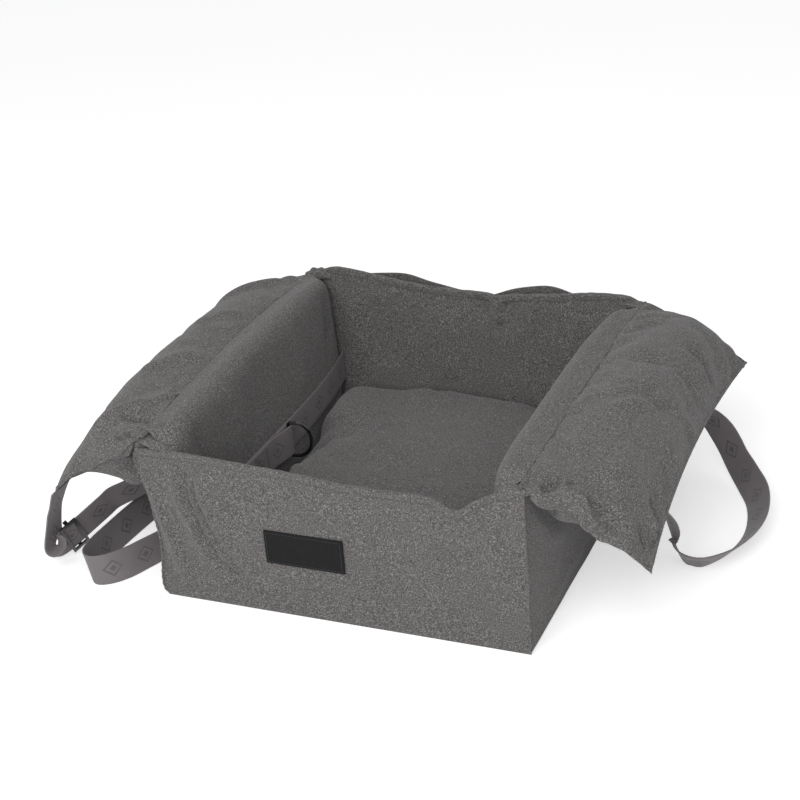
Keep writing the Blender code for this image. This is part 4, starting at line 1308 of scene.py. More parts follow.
tether_thread = make_thread("taupe_thread", TETHER_THREAD_COLOUR)
thread_lift = tail_lift + WEBBING_THICKNESS / 2 + THREAD_RADIUS * TETHER_THREAD_LIFT
box_lines = []
for start_share, end_share in BOX_STITCH_SHARES:
    corners = []
    for share, side in ((start_share, -1), (end_share, -1), (end_share, 1), (start_share, 1)):
        centre, lean = tether_place(RING_BAR_Y - KEEPER_LENGTH * share, thread_lift)
        corners.append(centre + lean * side * (WEBBING_WIDTH / 2 - BOX_STITCH_INSET))
    box_lines.append(corners + corners[:1])
    box_lines.append([corners[0], corners[2]])
    box_lines.append([corners[1], corners[3]])
keeper_stitches = sew_stitches("keeper_stitches", box_lines, tether_thread, "seat")

ring_metal = make_black_metal(
    "ring_coat", RING_COLOUR, RING_WORN_COLOUR, RING_ROUGHNESS, RING_SCRATCH_SCALE
)
finish_node("d_ring", ring_metal)

# Bed cushion.
# One crowned cushion of heather grey cloth, filled with fibre and sewn round its edge, fills
# the floor between the side bolsters. It is fuller in the middle and pinched at its corners.
CUSHION_RIM_Z = 0.0353
CUSHION_RIM_HALF = 0.0015
CUSHION_CROWN = 0.040
CUSHION_TOP_POWER = 0.62
CUSHION_CORNER_EASE = 0.28
CUSHION_SIDE_DRAW = 0.006
CUSHION_SIDE_GAP = 0.001
CUSHION_CUTS = 64
CUSHION_CAP = 0.006
CUSHION_WAVE = 0.0012
PILLOW_FLAT_POWER = 3
PILLOW_ROUND_POWER = 0.6
CUSHION_BASE_POWER = 0.5
CLOTH_FRAMES = 18
CLOTH_MASS = 0.15
CLOTH_STIFFNESS = 20
CLOTH_SHEAR_STIFFNESS = 8
CLOTH_BENDING_STIFFNESS = 0.4
CLOTH_AIR_DAMPING = 4
CLOTH_QUALITY = 6
CUSHION_PRESSURE = 1.5
CUSHION_GROWTH = 0.01
CUSHION_WAVE_SCALE = 22
CUSHION_SEED = 3
CUSHION_END_DRAW_SHARE = 0.5
CUSHION_CORNER_WIDE = (-0.5, 0.7)
CUSHION_CORNER_DEEP = (0.2, 0.9)
CUSHION_CREASES = (
    (((-0.150, 0.190), (-0.140, 0.120), (-0.150, 0.080)), 0.040, 0.008),
    (((-0.090, 0.200), (0.000, 0.205), (0.100, 0.200)), 0.030, 0.005),
    (((-0.160, -0.020), (-0.135, -0.050), (-0.120, -0.110)), 0.010, 0.004),
    (((-0.150, -0.060), (-0.128, -0.120), (-0.080, -0.190)), 0.012, -0.004),
    (((-0.165, 0.030), (-0.140, 0.050), (-0.100, 0.055)), 0.010, -0.003),
    (((-0.050, 0.226), (-0.046, 0.210), (-0.040, 0.190)), 0.006, -0.0034),
    (((0.165, -0.200), (0.120, -0.160)), 0.010, -0.004),
    (((0.165, 0.190), (0.125, 0.150)), 0.010, -0.004),
)
bed_half = -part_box("left_bolster")[1].x
floor_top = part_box("base_board")[1].z


def pillow_fill(share):
    """Say how full a pillow is, from 1 at its middle to 0 at its sewn edge."""
    return max(0, 1 - abs(share) ** PILLOW_FLAT_POWER) ** PILLOW_ROUND_POWER


def plump(piece, held, pressure, growth, cap):
    """Blow a sewn piece up with the cloth simulation, and cap how far each point moves.

    held says for each point whether it stays where it is.
    """
    before = [vertex.co.copy() for vertex in piece.data.vertices]
    group = piece.vertex_groups.new(name="pinned")
    for vertex in piece.data.vertices:
        group.add([vertex.index], 1 if held[vertex.index] else 0, "REPLACE")
    cloth = piece.modifiers.new("cloth", "CLOTH")
    cloth.settings.quality = CLOTH_QUALITY
    cloth.settings.mass = CLOTH_MASS
    cloth.settings.tension_stiffness = CLOTH_STIFFNESS
    cloth.settings.compression_stiffness = CLOTH_STIFFNESS
    cloth.settings.shear_stiffness = CLOTH_SHEAR_STIFFNESS
    cloth.settings.bending_stiffness = CLOTH_BENDING_STIFFNESS
    cloth.settings.air_damping = CLOTH_AIR_DAMPING
    cloth.settings.use_pressure = True
    cloth.settings.uniform_pressure_force = pressure
    cloth.settings.shrink_min = -growth
    cloth.settings.effector_weights.gravity = 0
    cloth.settings.vertex_group_mass = "pinned"
    cloth.collision_settings.use_collision = False
    cloth.point_cache.frame_start = 1
    cloth.point_cache.frame_end = CLOTH_FRAMES
    for step in range(1, CLOTH_FRAMES + 1):
        bpy.context.scene.frame_set(step)
    apply_modifiers(piece)
    for vertex, start in zip(piece.data.vertices, before):
        shift = vertex.co - start
        if shift.length > cap:
            vertex.co = start + shift * (cap / shift.length)
    piece.vertex_groups.clear()
    bpy.context.scene.frame_set(1)


cushion_half_width = bed_half - CUSHION_SIDE_GAP
cushion_middle = (bed_front + bed_back) / 2
cushion_half_length = (bed_back - bed_front) / 2 - CUSHION_SIDE_GAP


def cushion_place(long_share, wide_share, face):
    """Bend the cushion's sheets: the top is crowned and the bottom lies on the board."""
    wide = crowded(long_share)
    deep = crowded(wide_share)
    draw = CUSHION_SIDE_DRAW * CUSHION_END_DRAW_SHARE * (1 - deep ** 2)
    x = wide * (cushion_half_width - draw)
    y = cushion_middle + deep * (cushion_half_length - CUSHION_SIDE_DRAW * (1 - wide ** 2))
    fill = pillow_fill(wide) * pillow_fill(deep)
    if face > 0:
        corner_fill = eased(-wide, *CUSHION_CORNER_WIDE) * eased(deep, *CUSHION_CORNER_DEEP)
        power = CUSHION_TOP_POWER - CUSHION_CORNER_EASE * corner_fill
        return (x, y, CUSHION_RIM_Z + CUSHION_RIM_HALF + CUSHION_CROWN * fill ** power)
    if face < 0:
        under = CUSHION_RIM_Z - CUSHION_RIM_HALF
        drop = (under - floor_top) * fill ** CUSHION_BASE_POWER
        return (x, y, under - drop + CUSHION_SIDE_GAP * fill)
    return (x, y, CUSHION_RIM_Z)


def cushion_spot(panel):
    """Return where a point of the cushion's top sheet lies, in metres."""
    if panel.z <= 0:
        return None
    wide = crowded(panel.x)
    deep = crowded(panel.y)
    return Vector((wide * cushion_half_width, cushion_middle + deep * cushion_half_length))


cushion = sew_pillow("bed_cushion", CUSHION_CUTS, CUSHION_CUTS, cushion_place)
held = [item.vector.z <= 0 for item in cushion.data.attributes["panel"].data]
plump(cushion, held, CUSHION_PRESSURE, CUSHION_GROWTH, CUSHION_CAP)
refine(cushion, 1)
press_folds(
    cushion, CUSHION_CREASES, cushion_spot, CUSHION_WAVE, CUSHION_WAVE_SCALE, CUSHION_SEED
)
finish_cloth(cushion, heather, "base_cushion")

# Side wings.
# Each wing is a filled pillow that hangs outside the box from its crest seam and folds up
# over it. Its rim is drawn in between the corners, and the cloth puckers along its seams.
WING_CUTS_LONG = 88
WING_CUTS_WIDE = 44
WING_REACH = 0.350
WING_TIP_Z = 0.124
WING_HALF_LENGTH = 0.2425
WING_END_DRAW = 0.005
WING_RIM_DRAW = 0.015
WING_HALF_THICKNESS = 0.026
WING_RIM_HALF = 0.0008
WING_MID_ARCH = 0.022
WING_END_ARCH = 0.006
WING_BULGE_POWER = 0.7
WING_ROOT_GAP = 0.0034
WING_WAVE = 0.0013
WING_CAP = 0.006
WING_COVER_SHARE = 0.16
WING_WRAP_SHARE = 0.02
WING_LENS = {"left": (0.44, 0.20, 0.046), "right": (0.30, 0.20, 0.036)}
WING_LENS_RUN = 0.17
WING_LENS_RISE = 3
WING_ROOT_TUCK = 0.005
WING_ROOT_SOFT = {"left": 0.05, "right": 0.05}
WING_CORNER_REACH = {"left": 0.014, "right": 0.0}
WING_CORNER_ROUND = {"left": 0.007, "right": 0.0}
WING_PUCKER = 0.0008
WING_PUCKER_PITCH = 0.038
WING_PUCKER_REACH = 0.026
WING_GROOVE = 0.0013
WING_GROOVE_INSET = 0.0036
WING_GROOVE_HALF = 0.0012
WING_PRESSURE = 2.0
WING_GROWTH = 0.02
WING_WAVE_SCALE = 17
WING_SEED = 31
WING_BOW_RUN = 0.6
WING_CORNER_PLACE = 0.88
WING_CORNER_SPREAD = 0.10
WING_CORNER_ROUND_START = 0.93
WING_RIM_WAVE_SPREAD = 0.10
WING_LENS_SPAN = (0.3, 0.95)
WING_TUCK_RUN = 0.14
WING_TUCK_POWER = 12
WING_TUCK_DROP = 0.3
WING_PUCKER_DRIFT = 1.4
WING_PUCKER_DRIFT_SCALE = 11
WING_PUCKER_TURNS = 4
WING_PUCKER_SPAN = (0.002, 0.012)
WING_ROOT_PUCKER = 0.5
WING_BLEND_START = 0.002
WING_BLEND_END = 0.020
WING_TIPS = {
    "left": ((0.351, 0.121), (0.350, 0.128)),
    "right": ((0.360, 0.129), (0.350, 0.139)),
}
WING_RIM_WAVES = {
    "left": (
        (0.30, 0.16, -0.010),
        (0.56, 0.12, -0.006),
    ),
    "right": (
        (0.12, 0.07, -0.005),
        (0.33, 0.09, 0.012),
        (0.58, 0.13, -0.009),
    ),
}
WING_FOLDS = {
    "left": (
        (((0.110, 0.075), (0.150, 0.045), (0.190, 0.022), (0.215, 0.010)), 0.010, 0.0040),
        (((0.020, 0.055), (0.045, 0.028), (0.066, 0.009)), 0.009, 0.0032),
        (((-0.110, 0.060), (-0.087, 0.035), (-0.043, 0.004)), 0.010, 0.0032),
        (((-0.215, 0.080), (-0.198, 0.055), (-0.168, 0.012), (-0.146, 0.004)), 0.008, 0.0045),
        (((-0.211, 0.040), (-0.218, 0.019), (-0.226, 0.004)), 0.005, 0.0042),
        (((-0.192, 0.042), (-0.203, 0.020), (-0.206, 0.006)), 0.005, -0.0040),
        (((-0.234, 0.040), (-0.237, 0.014)), 0.004, 0.0030),
        (((-0.226, 0.042), (-0.229, 0.018)), 0.004, -0.0030),
        (((-0.180, 0.146), (-0.165, 0.120), (-0.160, 0.090)), 0.007, -0.0028),
        (((-0.090, 0.143), (-0.085, 0.115)), 0.006, -0.0025),
        (((0.010, 0.140), (0.004, 0.112)), 0.006, -0.0025),
        (((0.100, 0.142), (0.108, 0.112)), 0.006, -0.0025),
    ),
    "right": (
        (((-0.028, 0.056), (-0.033, 0.083), (-0.016, 0.108)), 0.011, -0.0032),
        (((-0.018, 0.108), (-0.004, 0.126), (0.006, 0.146)), 0.006, 0.0032),
        (((-0.009, 0.020), (-0.019, 0.045), (-0.009, 0.066)), 0.007, 0.0034),
        (((0.100, 0.002), (0.157, 0.010), (0.190, 0.032)), 0.010, 0.0036),
        (((-0.090, 0.004), (-0.050, 0.008), (-0.042, 0.032), (-0.026, 0.050)), 0.007, 0.0030),
        (((-0.078, 0.034), (-0.058, 0.056), (-0.040, 0.080)), 0.008, 0.0028),
        (((0.185, 0.060), (0.172, 0.100), (0.150, 0.140)), 0.010, -0.0018),
        (((0.205, 0.085), (0.188, 0.120), (0.172, 0.144)), 0.010, 0.0014),
        (((0.128, 0.070), (0.118, 0.105), (0.108, 0.142)), 0.009, -0.0032),
        (((0.098, 0.062), (0.094, 0.100), (0.088, 0.130)), 0.009, 0.0030),
        (((0.040, 0.020), (0.062, 0.060), (0.060, 0.100), (0.048, 0.140)), 0.009, -0.0038),
        (((-0.092, 0.094), (-0.085, 0.125), (-0.082, 0.148)), 0.005, 0.0036),
        (((-0.110, 0.112), (-0.112, 0.146)), 0.005, -0.0030),
        (((-0.140, 0.116), (-0.140, 0.149)), 0.005, 0.0034),
        (((-0.162, 0.122), (-0.166, 0.149)), 0.005, -0.0028),
        (((-0.183, 0.126), (-0.192, 0.150)), 0.005, 0.0034),
        (((-0.206, 0.120), (-0.214, 0.146)), 0.005, -0.0028),
        (((-0.232, 0.024), (-0.222, 0.022), (-0.212, 0.026)), 0.006, -0.0055),
        (((-0.238, 0.014), (-0.224, 0.012)), 0.004, 0.0034),
        (((-0.222, 0.036), (-0.206, 0.040)), 0.004, -0.0032),
        (((-0.241, 0.006), (-0.238, 0.024), (-0.235, 0.050), (-0.237, 0.082)), 0.004, 0.0040),
        (((-0.228, 0.050), (-0.227, 0.084), (-0.230, 0.110)), 0.006, -0.0040),
        (((-0.200, 0.060), (-0.160, 0.075), (-0.130, 0.070)), 0.014, 0.0032),
    ),
}
wing_chord = math.hypot(WING_REACH - crest_x, WING_TIP_Z - crest_z)


def wing_place(side, sign):
    """Return the function that bends one wing's two sheets."""
    front_tip, back_tip = [Vector((x, 0, z)) for x, z in WING_TIPS[side]]
    axis = Vector((crest_x, 0, crest_z))
    straight = (Vector((WING_REACH, 0, WING_TIP_Z)) - axis).normalized()
    root = axis + straight * WING_ROOT_GAP
    crest_top = axis + Vector((CREST_GAP, 0, CREST_COVER))
    root_turn = math.atan2(straight.z, straight.x)

    def place(long_share, wide_share, face):
        """Return the spot for a share along, a share across and a face."""
        long = crowded(long_share)
        wide = (1 + crowded(wide_share)) / 2
        out, rise = crest_bow(side, long * WING_HALF_LENGTH)
        bow = Vector((out, 0, rise)) * (1 - eased(wide, 0, WING_BOW_RUN))
        tip = front_tip.lerp(back_tip, (1 + long) / 2)
        chord = tip - root
        reach = chord.length
        chord.normalize()
        up = Vector((-chord.z, 0, chord.x))
        bulge = max(0, math.sin(math.pi * wide))
        fill = pillow_fill(long)
        draw = WING_RIM_DRAW * (1 - long ** 2) * wide ** 2
        corner = bell(long, -WING_CORNER_PLACE, WING_CORNER_SPREAD)
        draw -= WING_CORNER_REACH[side] * corner * wide ** 2
        draw += WING_CORNER_ROUND[side] * eased(-long, WING_CORNER_ROUND_START, 1) * wide ** 2
        arch = (WING_END_ARCH + (WING_MID_ARCH - WING_END_ARCH) * fill) * bulge
        for centre, spread, height in WING_RIM_WAVES[side]:
            near = bell(wide, centre, spread)
            arch += height * near * bell(long, -1, WING_RIM_WAVE_SPREAD)
        half = WING_RIM_HALF + WING_HALF_THICKNESS * fill * bulge ** WING_BULGE_POWER
        if face < 0:
            centre, spread, depth = WING_LENS[side]
            lens = bell(wide, centre, spread) * eased(-long, *WING_LENS_SPAN)
            half += depth * lens * eased(1 + long, 0, WING_LENS_RUN) * min(1, bulge * WING_LENS_RISE)
        if face > 0:
            half *= eased(wide, -WING_ROOT_SOFT[side], WING_ROOT_SOFT[side]) ** 2
        place = root + chord * (reach * wide - draw) + up * (arch + face * half)
        if face >= 0:
            place += (crest_top - root) * (1 - eased(wide, 0, WING_COVER_SHARE))
        elif wide < WING_WRAP_SHARE:
            turn = math.pi / 2 + (root_turn - math.pi / 2) * eased(wide, 0, WING_WRAP_SHARE)
            place = axis + Vector((math.cos(turn), 0, math.sin(turn))) * CREST_COVER
        place += bow
        root_tuck = WING_ROOT_TUCK * (1 - eased(wide, 0, WING_TUCK_RUN))
        y = long * (WING_HALF_LENGTH - WING_END_DRAW * bulge - root_tuck)
        lower = WING_TUCK_DROP * root_tuck * abs(long) ** WING_TUCK_POWER
        return (sign * place.x, y, place.z - lower)

    return place


def wing_spot(panel):
    """Return where a point of a wing's top sheet lies, along the wing and down from its root."""
    long = crowded(panel.x)
    wide = (1 + crowded(panel.y)) / 2
    return Vector((long * WING_HALF_LENGTH, wide * wing_chord))


def wing_pucker(panel):
    """Return the height of the small gathers along a wing's sewn edges."""
    spot = wing_spot(panel)
    ends = WING_HALF_LENGTH - abs(spot.x)
    rim = wing_chord - spot.y
    drift_place = Vector((spot.x, spot.y, 0)) * WING_PUCKER_DRIFT_SCALE
    drift = WING_PUCKER_DRIFT * noise.noise(drift_place + Vector((0, 0, panel.z)))
    turns = WING_PUCKER_TURNS * drift
    along = math.sin(math.tau * spot.x / WING_PUCKER_PITCH + turns)
    across = math.sin(math.tau * spot.y / WING_PUCKER_PITCH + turns)
    gathers = along * math.exp(-rim / WING_PUCKER_REACH) * eased(rim, *WING_PUCKER_SPAN)
    gathers += WING_ROOT_PUCKER * along * math.exp(-spot.y / WING_PUCKER_REACH)
    gathers += across * math.exp(-ends / WING_PUCKER_REACH) * eased(ends, *WING_PUCKER_SPAN)
    groove = WING_GROOVE * bell(min(rim, ends), WING_GROOVE_INSET, WING_GROOVE_HALF)
    return WING_PUCKER * gathers * (1 + drift) - groove


for side_name, side_sign in (("left", -1), ("right", 1)):
    name = side_name + "_wing_pillow"
    wing = sew_pillow(name, WING_CUTS_LONG, WING_CUTS_WIDE, wing_place(side_name, side_sign))
    held = [item.vector.z == 0 for item in wing.data.attributes["panel"].data]
    plump(wing, held, WING_PRESSURE, WING_GROWTH, WING_CAP)
    refine(wing, 1)
    folds = WING_FOLDS[side_name]
    seed = WING_SEED + side_sign
    press_folds(wing, folds, wing_spot, WING_WAVE, WING_WAVE_SCALE, seed, wing_pucker)
    dress(wing, heather, None)
    start = (side_sign * (crest_x + WING_BLEND_START), 0, crest_z)
    end = (side_sign * (crest_x + WING_BLEND_END), 0, crest_z)
    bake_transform(wing)
    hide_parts(side_name + "_wing")

# Crest seams.
# Bolster, side wall and wing are sewn together along each side's crest, in one turned seam
# that stands up as a narrow puckered roll.
CREST_RADIUS = 0.0034
CREST_SIDES = 14
CREST_RINGS = 170
CREST_PUCKER = 0.00035
CREST_PUCKER_PITCH = 0.0085
CREST_OVERHANG = 0.002
SEAM_RIPPLE_SCALE = 90
SEAM_SIDE_RIPPLE_SCALE = 400
SEAM_END_SHARE = 0.35


def roll_seam(name, start, end, radius, sides, rings, bend):
    """Make a puckered roll of cloth between two points. bend(point) shifts each ring."""
    bpy.ops.object.select_all(action="DESELECT")
    reach = end - start
    bpy.ops.mesh.primitive_cylinder_add(
        vertices=sides, radius=radius, depth=reach.length, end_fill_type="TRIFAN"
    )
    seam = bpy.context.object
    seam.name = name
    seam.data.name = name
    shell = bmesh.new()
    shell.from_mesh(seam.data)
    long_edges = [edge for edge in shell.edges if edge.verts[0].co.z * edge.verts[1].co.z < 0]
    bmesh.ops.subdivide_edges(shell, edges=long_edges, cuts=rings, use_grid_fill=True)
    turn = reach.to_track_quat("Z", "Y").to_matrix()
    for vertex in shell.verts:
        run = vertex.co.z + reach.length / 2
        pucker = CREST_PUCKER * math.sin(math.tau * run / CREST_PUCKER_PITCH)
        sideways = Vector((0, vertex.co.x, vertex.co.y)) * SEAM_SIDE_RIPPLE_SCALE
        ripple = noise.noise(sideways + Vector((run * SEAM_RIPPLE_SCALE, 0, 0)))
        tight = min(1, run / radius, (reach.length - run) / radius)
        tight = max(SEAM_END_SHARE, tight)
        scale = (1 + (pucker + ripple * CREST_PUCKER - CREST_PUCKER) / radius) * tight
        flat = Vector((vertex.co.x * scale, vertex.co.y * scale, 0))
        centre = start + reach * (run / reach.length)
        vertex.co = bend(centre) + turn @ flat
    shell.to_mesh(seam.data)
    shell.free()
    dress(seam, heather, "seat")
    return seam


def crest_bend(side, sign):
    """Return the function that bows a crest seam with its bolster and wing."""

    def bend(point):
        """Bow one point of the seam."""
        out, rise = crest_bow(side, point.y)
        return point + Vector((sign * out, 0, rise))

    return bend


for side_name, side_sign in (("left", -1), ("right", 1)):
    start = Vector((side_sign * crest_x, -half_box_depth - CREST_OVERHANG, crest_z))
    end = Vector((side_sign * crest_x, half_box_depth + CREST_OVERHANG, crest_z))
    name = side_name + "_crest_roll"
    bend = crest_bend(side_name, side_sign)
    crest = roll_seam(name, start, end, CREST_RADIUS, CREST_SIDES, CREST_RINGS, bend)
    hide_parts(side_name + "_crest_seam")

# Corner tucks.
# At each end of a bolster its spare cloth is gathered over the end wall's hem and sewn down with
# the crest, as a short puckered roll.
TUCK_CUTS_LONG = 30
TUCK_CUTS_ROUND = 12
TUCK_PLEAT_PITCH = 0.011
TUCK_PLEAT_SHARE = 0.14
TUCK_TAPER_POWER = 2.2
TUCK_HALF_RUN = 0.02
TUCK_HALF_GIRTH = 0.015
TUCK_WAVE = 0.0010
TUCK_WAVE_SCALE = 80
TUCK_SEED = 41
TUCKS = {
    "front_left": (
        ((-0.2440, -0.2240, 0.2050), (-0.2210, -0.2240, 0.1985), (-0.1860, -0.2240, 0.1820)),
        (0.0125, 0.0066),
    ),
    "front_right": (
        ((0.2380, -0.2260, 0.1990), (0.2180, -0.2240, 0.2010), (0.1900, -0.2240, 0.1900)),
        (0.0125, 0.0062),
    ),
    "back_left": (
        ((-0.2360, 0.2270, 0.2080), (-0.2220, 0.2290, 0.2170), (-0.1960, 0.2310, 0.2080)),
        (0.0095, 0.0080),
    ),
    "back_right": (
        ((0.2400, 0.2270, 0.2050), (0.2200, 0.2300, 0.2105), (0.1900, 0.2310, 0.2075)),
        (0.0070, 0.0055),
    ),
}


def tuck_place(line, half_sizes):
    """Return the function that rolls a tuck's sheets round its bent middle line."""
    start, middle, end = [Vector(point) for point in line]
    forward = Vector((0, 1, 0))

    def place(long_share, wide_share, face):
        """Return the spot for a share along, a share across and a face."""
        along = (1 + crowded(long_share)) / 2
        near, far = start.lerp(middle, along), middle.lerp(end, along)
        centre = near.lerp(far, along)
        upward = (far - near).cross(forward).normalized()
        if upward.z < 0:
            upward.negate()
        angle = wide_share * math.pi / 2
        taper = max(0, 1 - abs(2 * along - 1) ** TUCK_TAPER_POWER) ** 0.5
        run = along * (end - start).length
        lean = 2 * angle / math.pi
        pleat = 1 + TUCK_PLEAT_SHARE * math.sin(math.tau * run / TUCK_PLEAT_PITCH + lean)
        deep = half_sizes[0] * taper * math.sin(angle)
        high = half_sizes[1] * taper * pleat * face * math.cos(angle)
        return centre + forward * deep + upward * high

    return place


def tuck_spot(panel):
    """Return where a point of a tuck lies, in metres."""
    return Vector((panel.x * TUCK_HALF_RUN, panel.y * TUCK_HALF_GIRTH))


for tuck_name, (line, half_sizes) in TUCKS.items():
    place = tuck_place(line, half_sizes)
    tuck = sew_pillow(tuck_name + "_tuck", TUCK_CUTS_LONG, TUCK_CUTS_ROUND, place)
    refine(tuck, 1)
    press_folds(tuck, (), tuck_spot, TUCK_WAVE, TUCK_WAVE_SCALE, TUCK_SEED)
    dress(tuck, heather, "seat")

# Corner seams.
# Where two walls meet, their turned edges stand out as one thin roll from the floor up.
CORNER_RADIUS = 0.0018
CORNER_DRAW = 0.0019
CORNER_SIDES = 10
CORNER_RINGS = 60


def corner_bend(point):
    """Draw a corner seam into its corner, and lean it out with its walls."""
    x = math.copysign(CORNER_DRAW, point.x)
    y = math.copysign(CORNER_DRAW, point.y)
    return point + Vector((corner_flare(point.x, point.y, point.z) - x, -y, 0))


for end_name in ("front", "back"):
    for side_name in ("left", "right"):
        node = end_name + "_" + side_name + "_corner_seam"
        low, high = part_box(node)
        middle = (low + high) / 2
        start = Vector((middle.x, middle.y, low.z))
        end = Vector((middle.x, middle.y, high.z))
        name = end_name + "_" + side_name + "_corner_roll"
        seam = roll_seam(name, start, end, CORNER_RADIUS, CORNER_SIDES, CORNER_RINGS, corner_bend)
        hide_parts(node)

# Back pocket.
# A slack piece of the cloth is sewn to the back in two bays, and its hemmed top edge stands
# off the wall in two humps.
POCKET_SEAM_X = 0.020
POCKET_BOTTOM = 0.030
POCKET_TOP = 0.200
POCKET_TOP_RISE = 0.009
POCKET_BOW = 0.024
POCKET_BOW_POWER = 0.8
POCKET_PEAK_POWER = 0.66
POCKET_CLOTH = 0.0022
POCKET_COLUMNS = 90
POCKET_ROWS = 44
POCKET_WALL_GAP = 0.0015
POCKET_SLACK = 0.0030
POCKET_SLACK_SCALE = (22, 14)
POCKET_SLACK_SEED = 4.0
POCKET_RIPPLE = 0.0022
POCKET_RIPPLE_TURN = (95, 25)
POCKET_RIPPLE_DRAW = 0.002
POCKET_THREAD_LIFT = 0.5
POCKET_HEM_DROPS = (0.006, 0.009)
POCKET_SIDE_INSET = 0.003
HEATHER_THREAD_COLOUR = (0.115, 0.110, 0.108, 1)
pocket_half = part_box("back_pocket")[1].x
pocket_flush_y = half_box_depth + POCKET_WALL_GAP


def pocket_place(x, up):
    """Return the point of the pocket's middle surface at x and a share of its height."""
    if x < POCKET_SEAM_X:
        bay = (x + pocket_half) / (POCKET_SEAM_X + pocket_half)
    else:
        bay = (pocket_half - x) / (pocket_half - POCKET_SEAM_X)
    bay = bay ** POCKET_PEAK_POWER if x < POCKET_SEAM_X else 1 - (1 - bay) ** POCKET_PEAK_POWER
    bow = math.sin(math.pi * bay) ** 2
    top = POCKET_TOP + POCKET_TOP_RISE * bow
    y = pocket_flush_y + POCKET_BOW * bow * math.sin(math.pi / 2 * up) ** POCKET_BOW_POWER
    z = POCKET_BOTTOM + up * (top - POCKET_BOTTOM)
    slack_x, slack_z = POCKET_SLACK_SCALE
    slack = POCKET_SLACK * noise.noise(Vector((x * slack_x, z * slack_z, POCKET_SLACK_SEED)))
    ripple_x, ripple_z = POCKET_RIPPLE_TURN
    slack += POCKET_RIPPLE * math.sin(x * ripple_x + z * ripple_z)
    return Vector((x, y + (slack - POCKET_RIPPLE_DRAW) * bow * up, z))


pocket = add_grid("pocket_cloth", POCKET_COLUMNS, POCKET_ROWS)
for vertex in pocket.data.vertices:
    vertex.co = pocket_place(vertex.co.x * pocket_half, (vertex.co.y + 1) / 2)
sheet = pocket.modifiers.new("cloth", "SOLIDIFY")
sheet.thickness = POCKET_CLOTH
sheet.offset = 0
apply_modifiers(pocket)
finish_cloth(pocket, heather, "back_pocket")

heather_thread = make_thread("grey_thread", HEATHER_THREAD_COLOUR)
thread_out = Vector((0, POCKET_CLOTH / 2 + THREAD_RADIUS * POCKET_THREAD_LIFT, 0))
pocket_lines = []
for drop in POCKET_HEM_DROPS:
    line = []
    up = 1 - drop / (POCKET_TOP - POCKET_BOTTOM)
    for step in range(POCKET_COLUMNS + 1):
        x = pocket_half * (2 * step / POCKET_COLUMNS - 1)
        line.append(pocket_place(x, up) + thread_out)
    pocket_lines.append(line)
pocket_side = pocket_half - POCKET_SIDE_INSET
for x in (-pocket_side, POCKET_SEAM_X, pocket_side):
    line = [pocket_place(x, step / POCKET_ROWS) + thread_out for step in range(POCKET_ROWS + 1)]
    pocket_lines.append(line)
pocket_stitches = sew_stitches("pocket_stitches", pocket_lines, heather_thread, "seat")

# Hem stitching.
# One row of topstitching runs along each turned hem, just below its roll.
HEM_STITCH_STEPS = 240
HEM_STITCH_END = 0.004
HEM_STITCH_DROP = 1.5
HEM_THREAD_SINK = 0.3
front_line = []
back_line = []
for step in range(HEM_STITCH_STEPS + 1):
    x = (half_box_width - HEM_STITCH_END) * (2 * step / HEM_STITCH_STEPS - 1)
    proud = HEM_HALF + HEM_PROUD + THREAD_RADIUS * HEM_THREAD_SINK
    z = front_edge(x) - HEM_HALF_HEIGHT * HEM_STITCH_DROP
    y = front_mid_y - proud + front_lean(x, 0)
    front_line.append(Vector((x + corner_flare(x, front_face_y, z), y, z)))
    z = back_edge(x) - HEM_HALF_HEIGHT * HEM_STITCH_DROP
    back_line.append(Vector((x, back_mid_y - proud, z)))
hem_lines = [front_line, back_line]
hem_stitches = sew_stitches("hem_stitches", hem_lines, heather_thread, "seat")

# Label patch.
# A bare patch of matte black rubber is sewn to the front wall along its edge.
LABEL_COLOUR = (0.0035, 0.0035, 0.0043, 1)
LABEL_DUSTY_COLOUR = (0.0080, 0.0080, 0.0092, 1)
LABEL_GRAIN_NOISE = (1900.0, 2.0)
LABEL_DUST_NOISE = (120.0, 5.0)
LABEL_DUST_SPAN = (0.45, 0.75)
LABEL_ROUGHNESS = (0.2, 0.5)
LABEL_SPECULAR = 0.2
LABEL_GRAIN = (0.35, 0.0002)
LABEL_STITCH_INSET = 0.0028
LABEL_THREAD_SINK = 0.4
LABEL_THREAD_COLOUR = (0.030, 0.030, 0.032, 1)


def make_rubber():
    """Return the patch's matte rubber, with a fine moulded grain and a little dust."""
    material, shader = new_material("patch_rubber")
    place = own_place(material)
    grain = noise_at(material, place, *LABEL_GRAIN_NOISE)
    dust = noise_at(material, place, *LABEL_DUST_NOISE)
    share = ramped(material, dust, *LABEL_DUST_SPAN)
    link(material, mixed(material, share, LABEL_COLOUR, LABEL_DUSTY_COLOUR), shader, "Base Color")
    link(material, added(material, dust, *LABEL_ROUGHNESS), shader, "Roughness")
    shader.inputs["Specular IOR Level"].default_value = LABEL_SPECULAR
    raise_grain(material, shader, grain, *LABEL_GRAIN)
    return material


finish_node("label_patch", make_rubber())
label_low, label_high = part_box("label_patch")
label_y = label_low.y - THREAD_RADIUS * LABEL_THREAD_SINK
label_left = label_low.x + LABEL_STITCH_INSET
label_right = label_high.x - LABEL_STITCH_INSET
label_bottom = label_low.z + LABEL_STITCH_INSET
label_top = label_high.z - LABEL_STITCH_INSET
label_line = [
    Vector((label_left, label_y, label_bottom)),
    Vector((label_right, label_y, label_bottom)),
    Vector((label_right, label_y, label_top)),
    Vector((label_left, label_y, label_top)),
    Vector((label_left, label_y, label_bottom)),
]
black_thread = make_thread("black_thread", LABEL_THREAD_COLOUR)
label_stitches = sew_stitches("label_stitches", [label_line], black_thread, "seat")

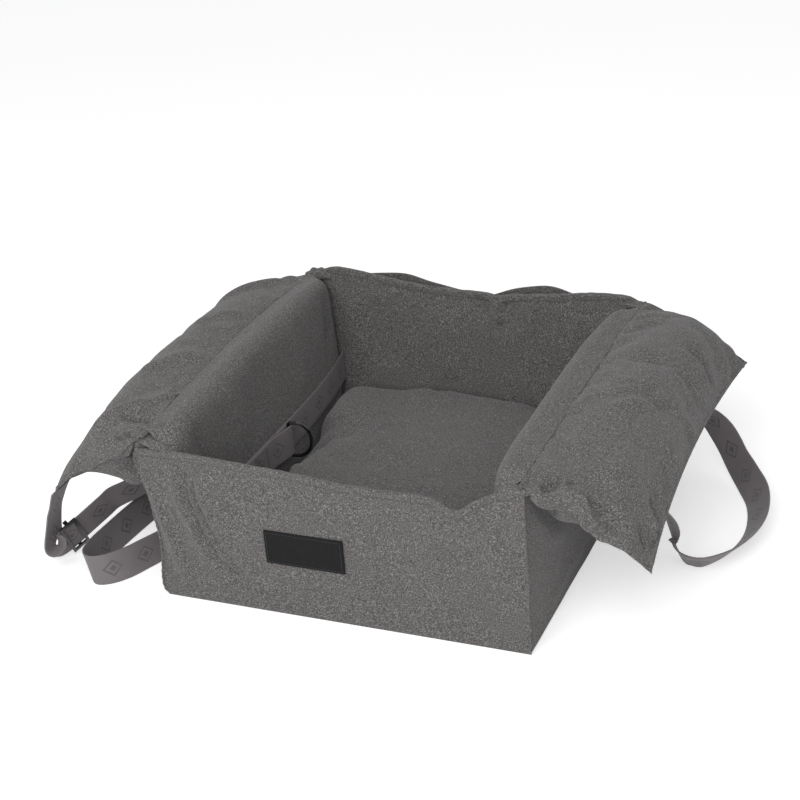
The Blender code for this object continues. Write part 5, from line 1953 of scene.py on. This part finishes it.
# Floor and backdrop.
# A plain white floor under soft studio light, which keeps the seat's shadow.
FLOOR_SIZE = 14.0
FLOOR_COLOUR = (0.90, 0.90, 0.905, 1)
FLOOR_PALE_COLOUR = (0.93, 0.93, 0.935, 1)
FLOOR_LIFT = 0.50
FLOOR_NOISE = (3.0, 2.0)
FLOOR_ROUGHNESS = 0.8


def seen_share(material):
    """Return 1 where the camera, a reflection or clear glass looks, and 0 for the light."""
    ray = add_node(material, "ShaderNodeLightPath", {}, {}).outputs
    seen = sum_of(material, "MAXIMUM", ray["Is Camera Ray"], ray["Is Glossy Ray"])
    return sum_of(material, "MAXIMUM", seen, ray["Is Transmission Ray"])


def make_floor():
    """Return the floor's white, which the camera sees a little lighter than it is lit."""
    material, shader = new_material("studio_floor")
    cloud = noise_at(material, own_place(material), *FLOOR_NOISE)
    pale = mixed(material, cloud, FLOOR_COLOUR, FLOOR_PALE_COLOUR)
    link(material, pale, shader, "Base Color")
    shader.inputs["Roughness"].default_value = FLOOR_ROUGHNESS
    shader.inputs["Specular IOR Level"].default_value = 0.0
    lift = sum_of(material, "MULTIPLY", seen_share(material), FLOOR_LIFT)
    shader.inputs["Emission Color"].default_value = (1, 1, 1, 1)
    link(material, lift, shader, "Emission Strength")
    return material


bpy.ops.object.select_all(action="DESELECT")
bpy.ops.mesh.primitive_plane_add(size=FLOOR_SIZE, location=(0, 0, 0))
floor = bpy.context.object
floor.name = "studio_floor"
floor.data.materials.append(make_floor())

# Light.
# One large soft box above and in front, a little to the right, and an even white room.
KEY_PLACE = Vector((0.30, -2.38, 1.95))
KEY_SIZE = 2.2
KEY_POWER = 58
ROOM_STRENGTH = 0.43

bpy.ops.object.select_all(action="DESELECT")
bpy.ops.object.light_add(type="AREA", location=KEY_PLACE)
key = bpy.context.object
key.name = "key_light"
key.data.size = KEY_SIZE
key.data.energy = KEY_POWER
key.rotation_euler = KEY_PLACE.to_track_quat("Z", "Y").to_euler()

room = bpy.data.worlds.new("studio_room")
room.use_nodes = True
bpy.context.scene.world = room
room_light = room.node_tree.nodes["Background"]
room_light.inputs["Color"].default_value = (1, 1, 1, 1)
shown = {0: seen_share(room), 2: ROOM_STRENGTH, 3: 1.0}
strength = add_node(room, "ShaderNodeMix", {}, shown).outputs[0]
room.node_tree.links.new(strength, room_light.inputs["Strength"])

bpy.context.scene.view_settings.view_transform = "Standard"
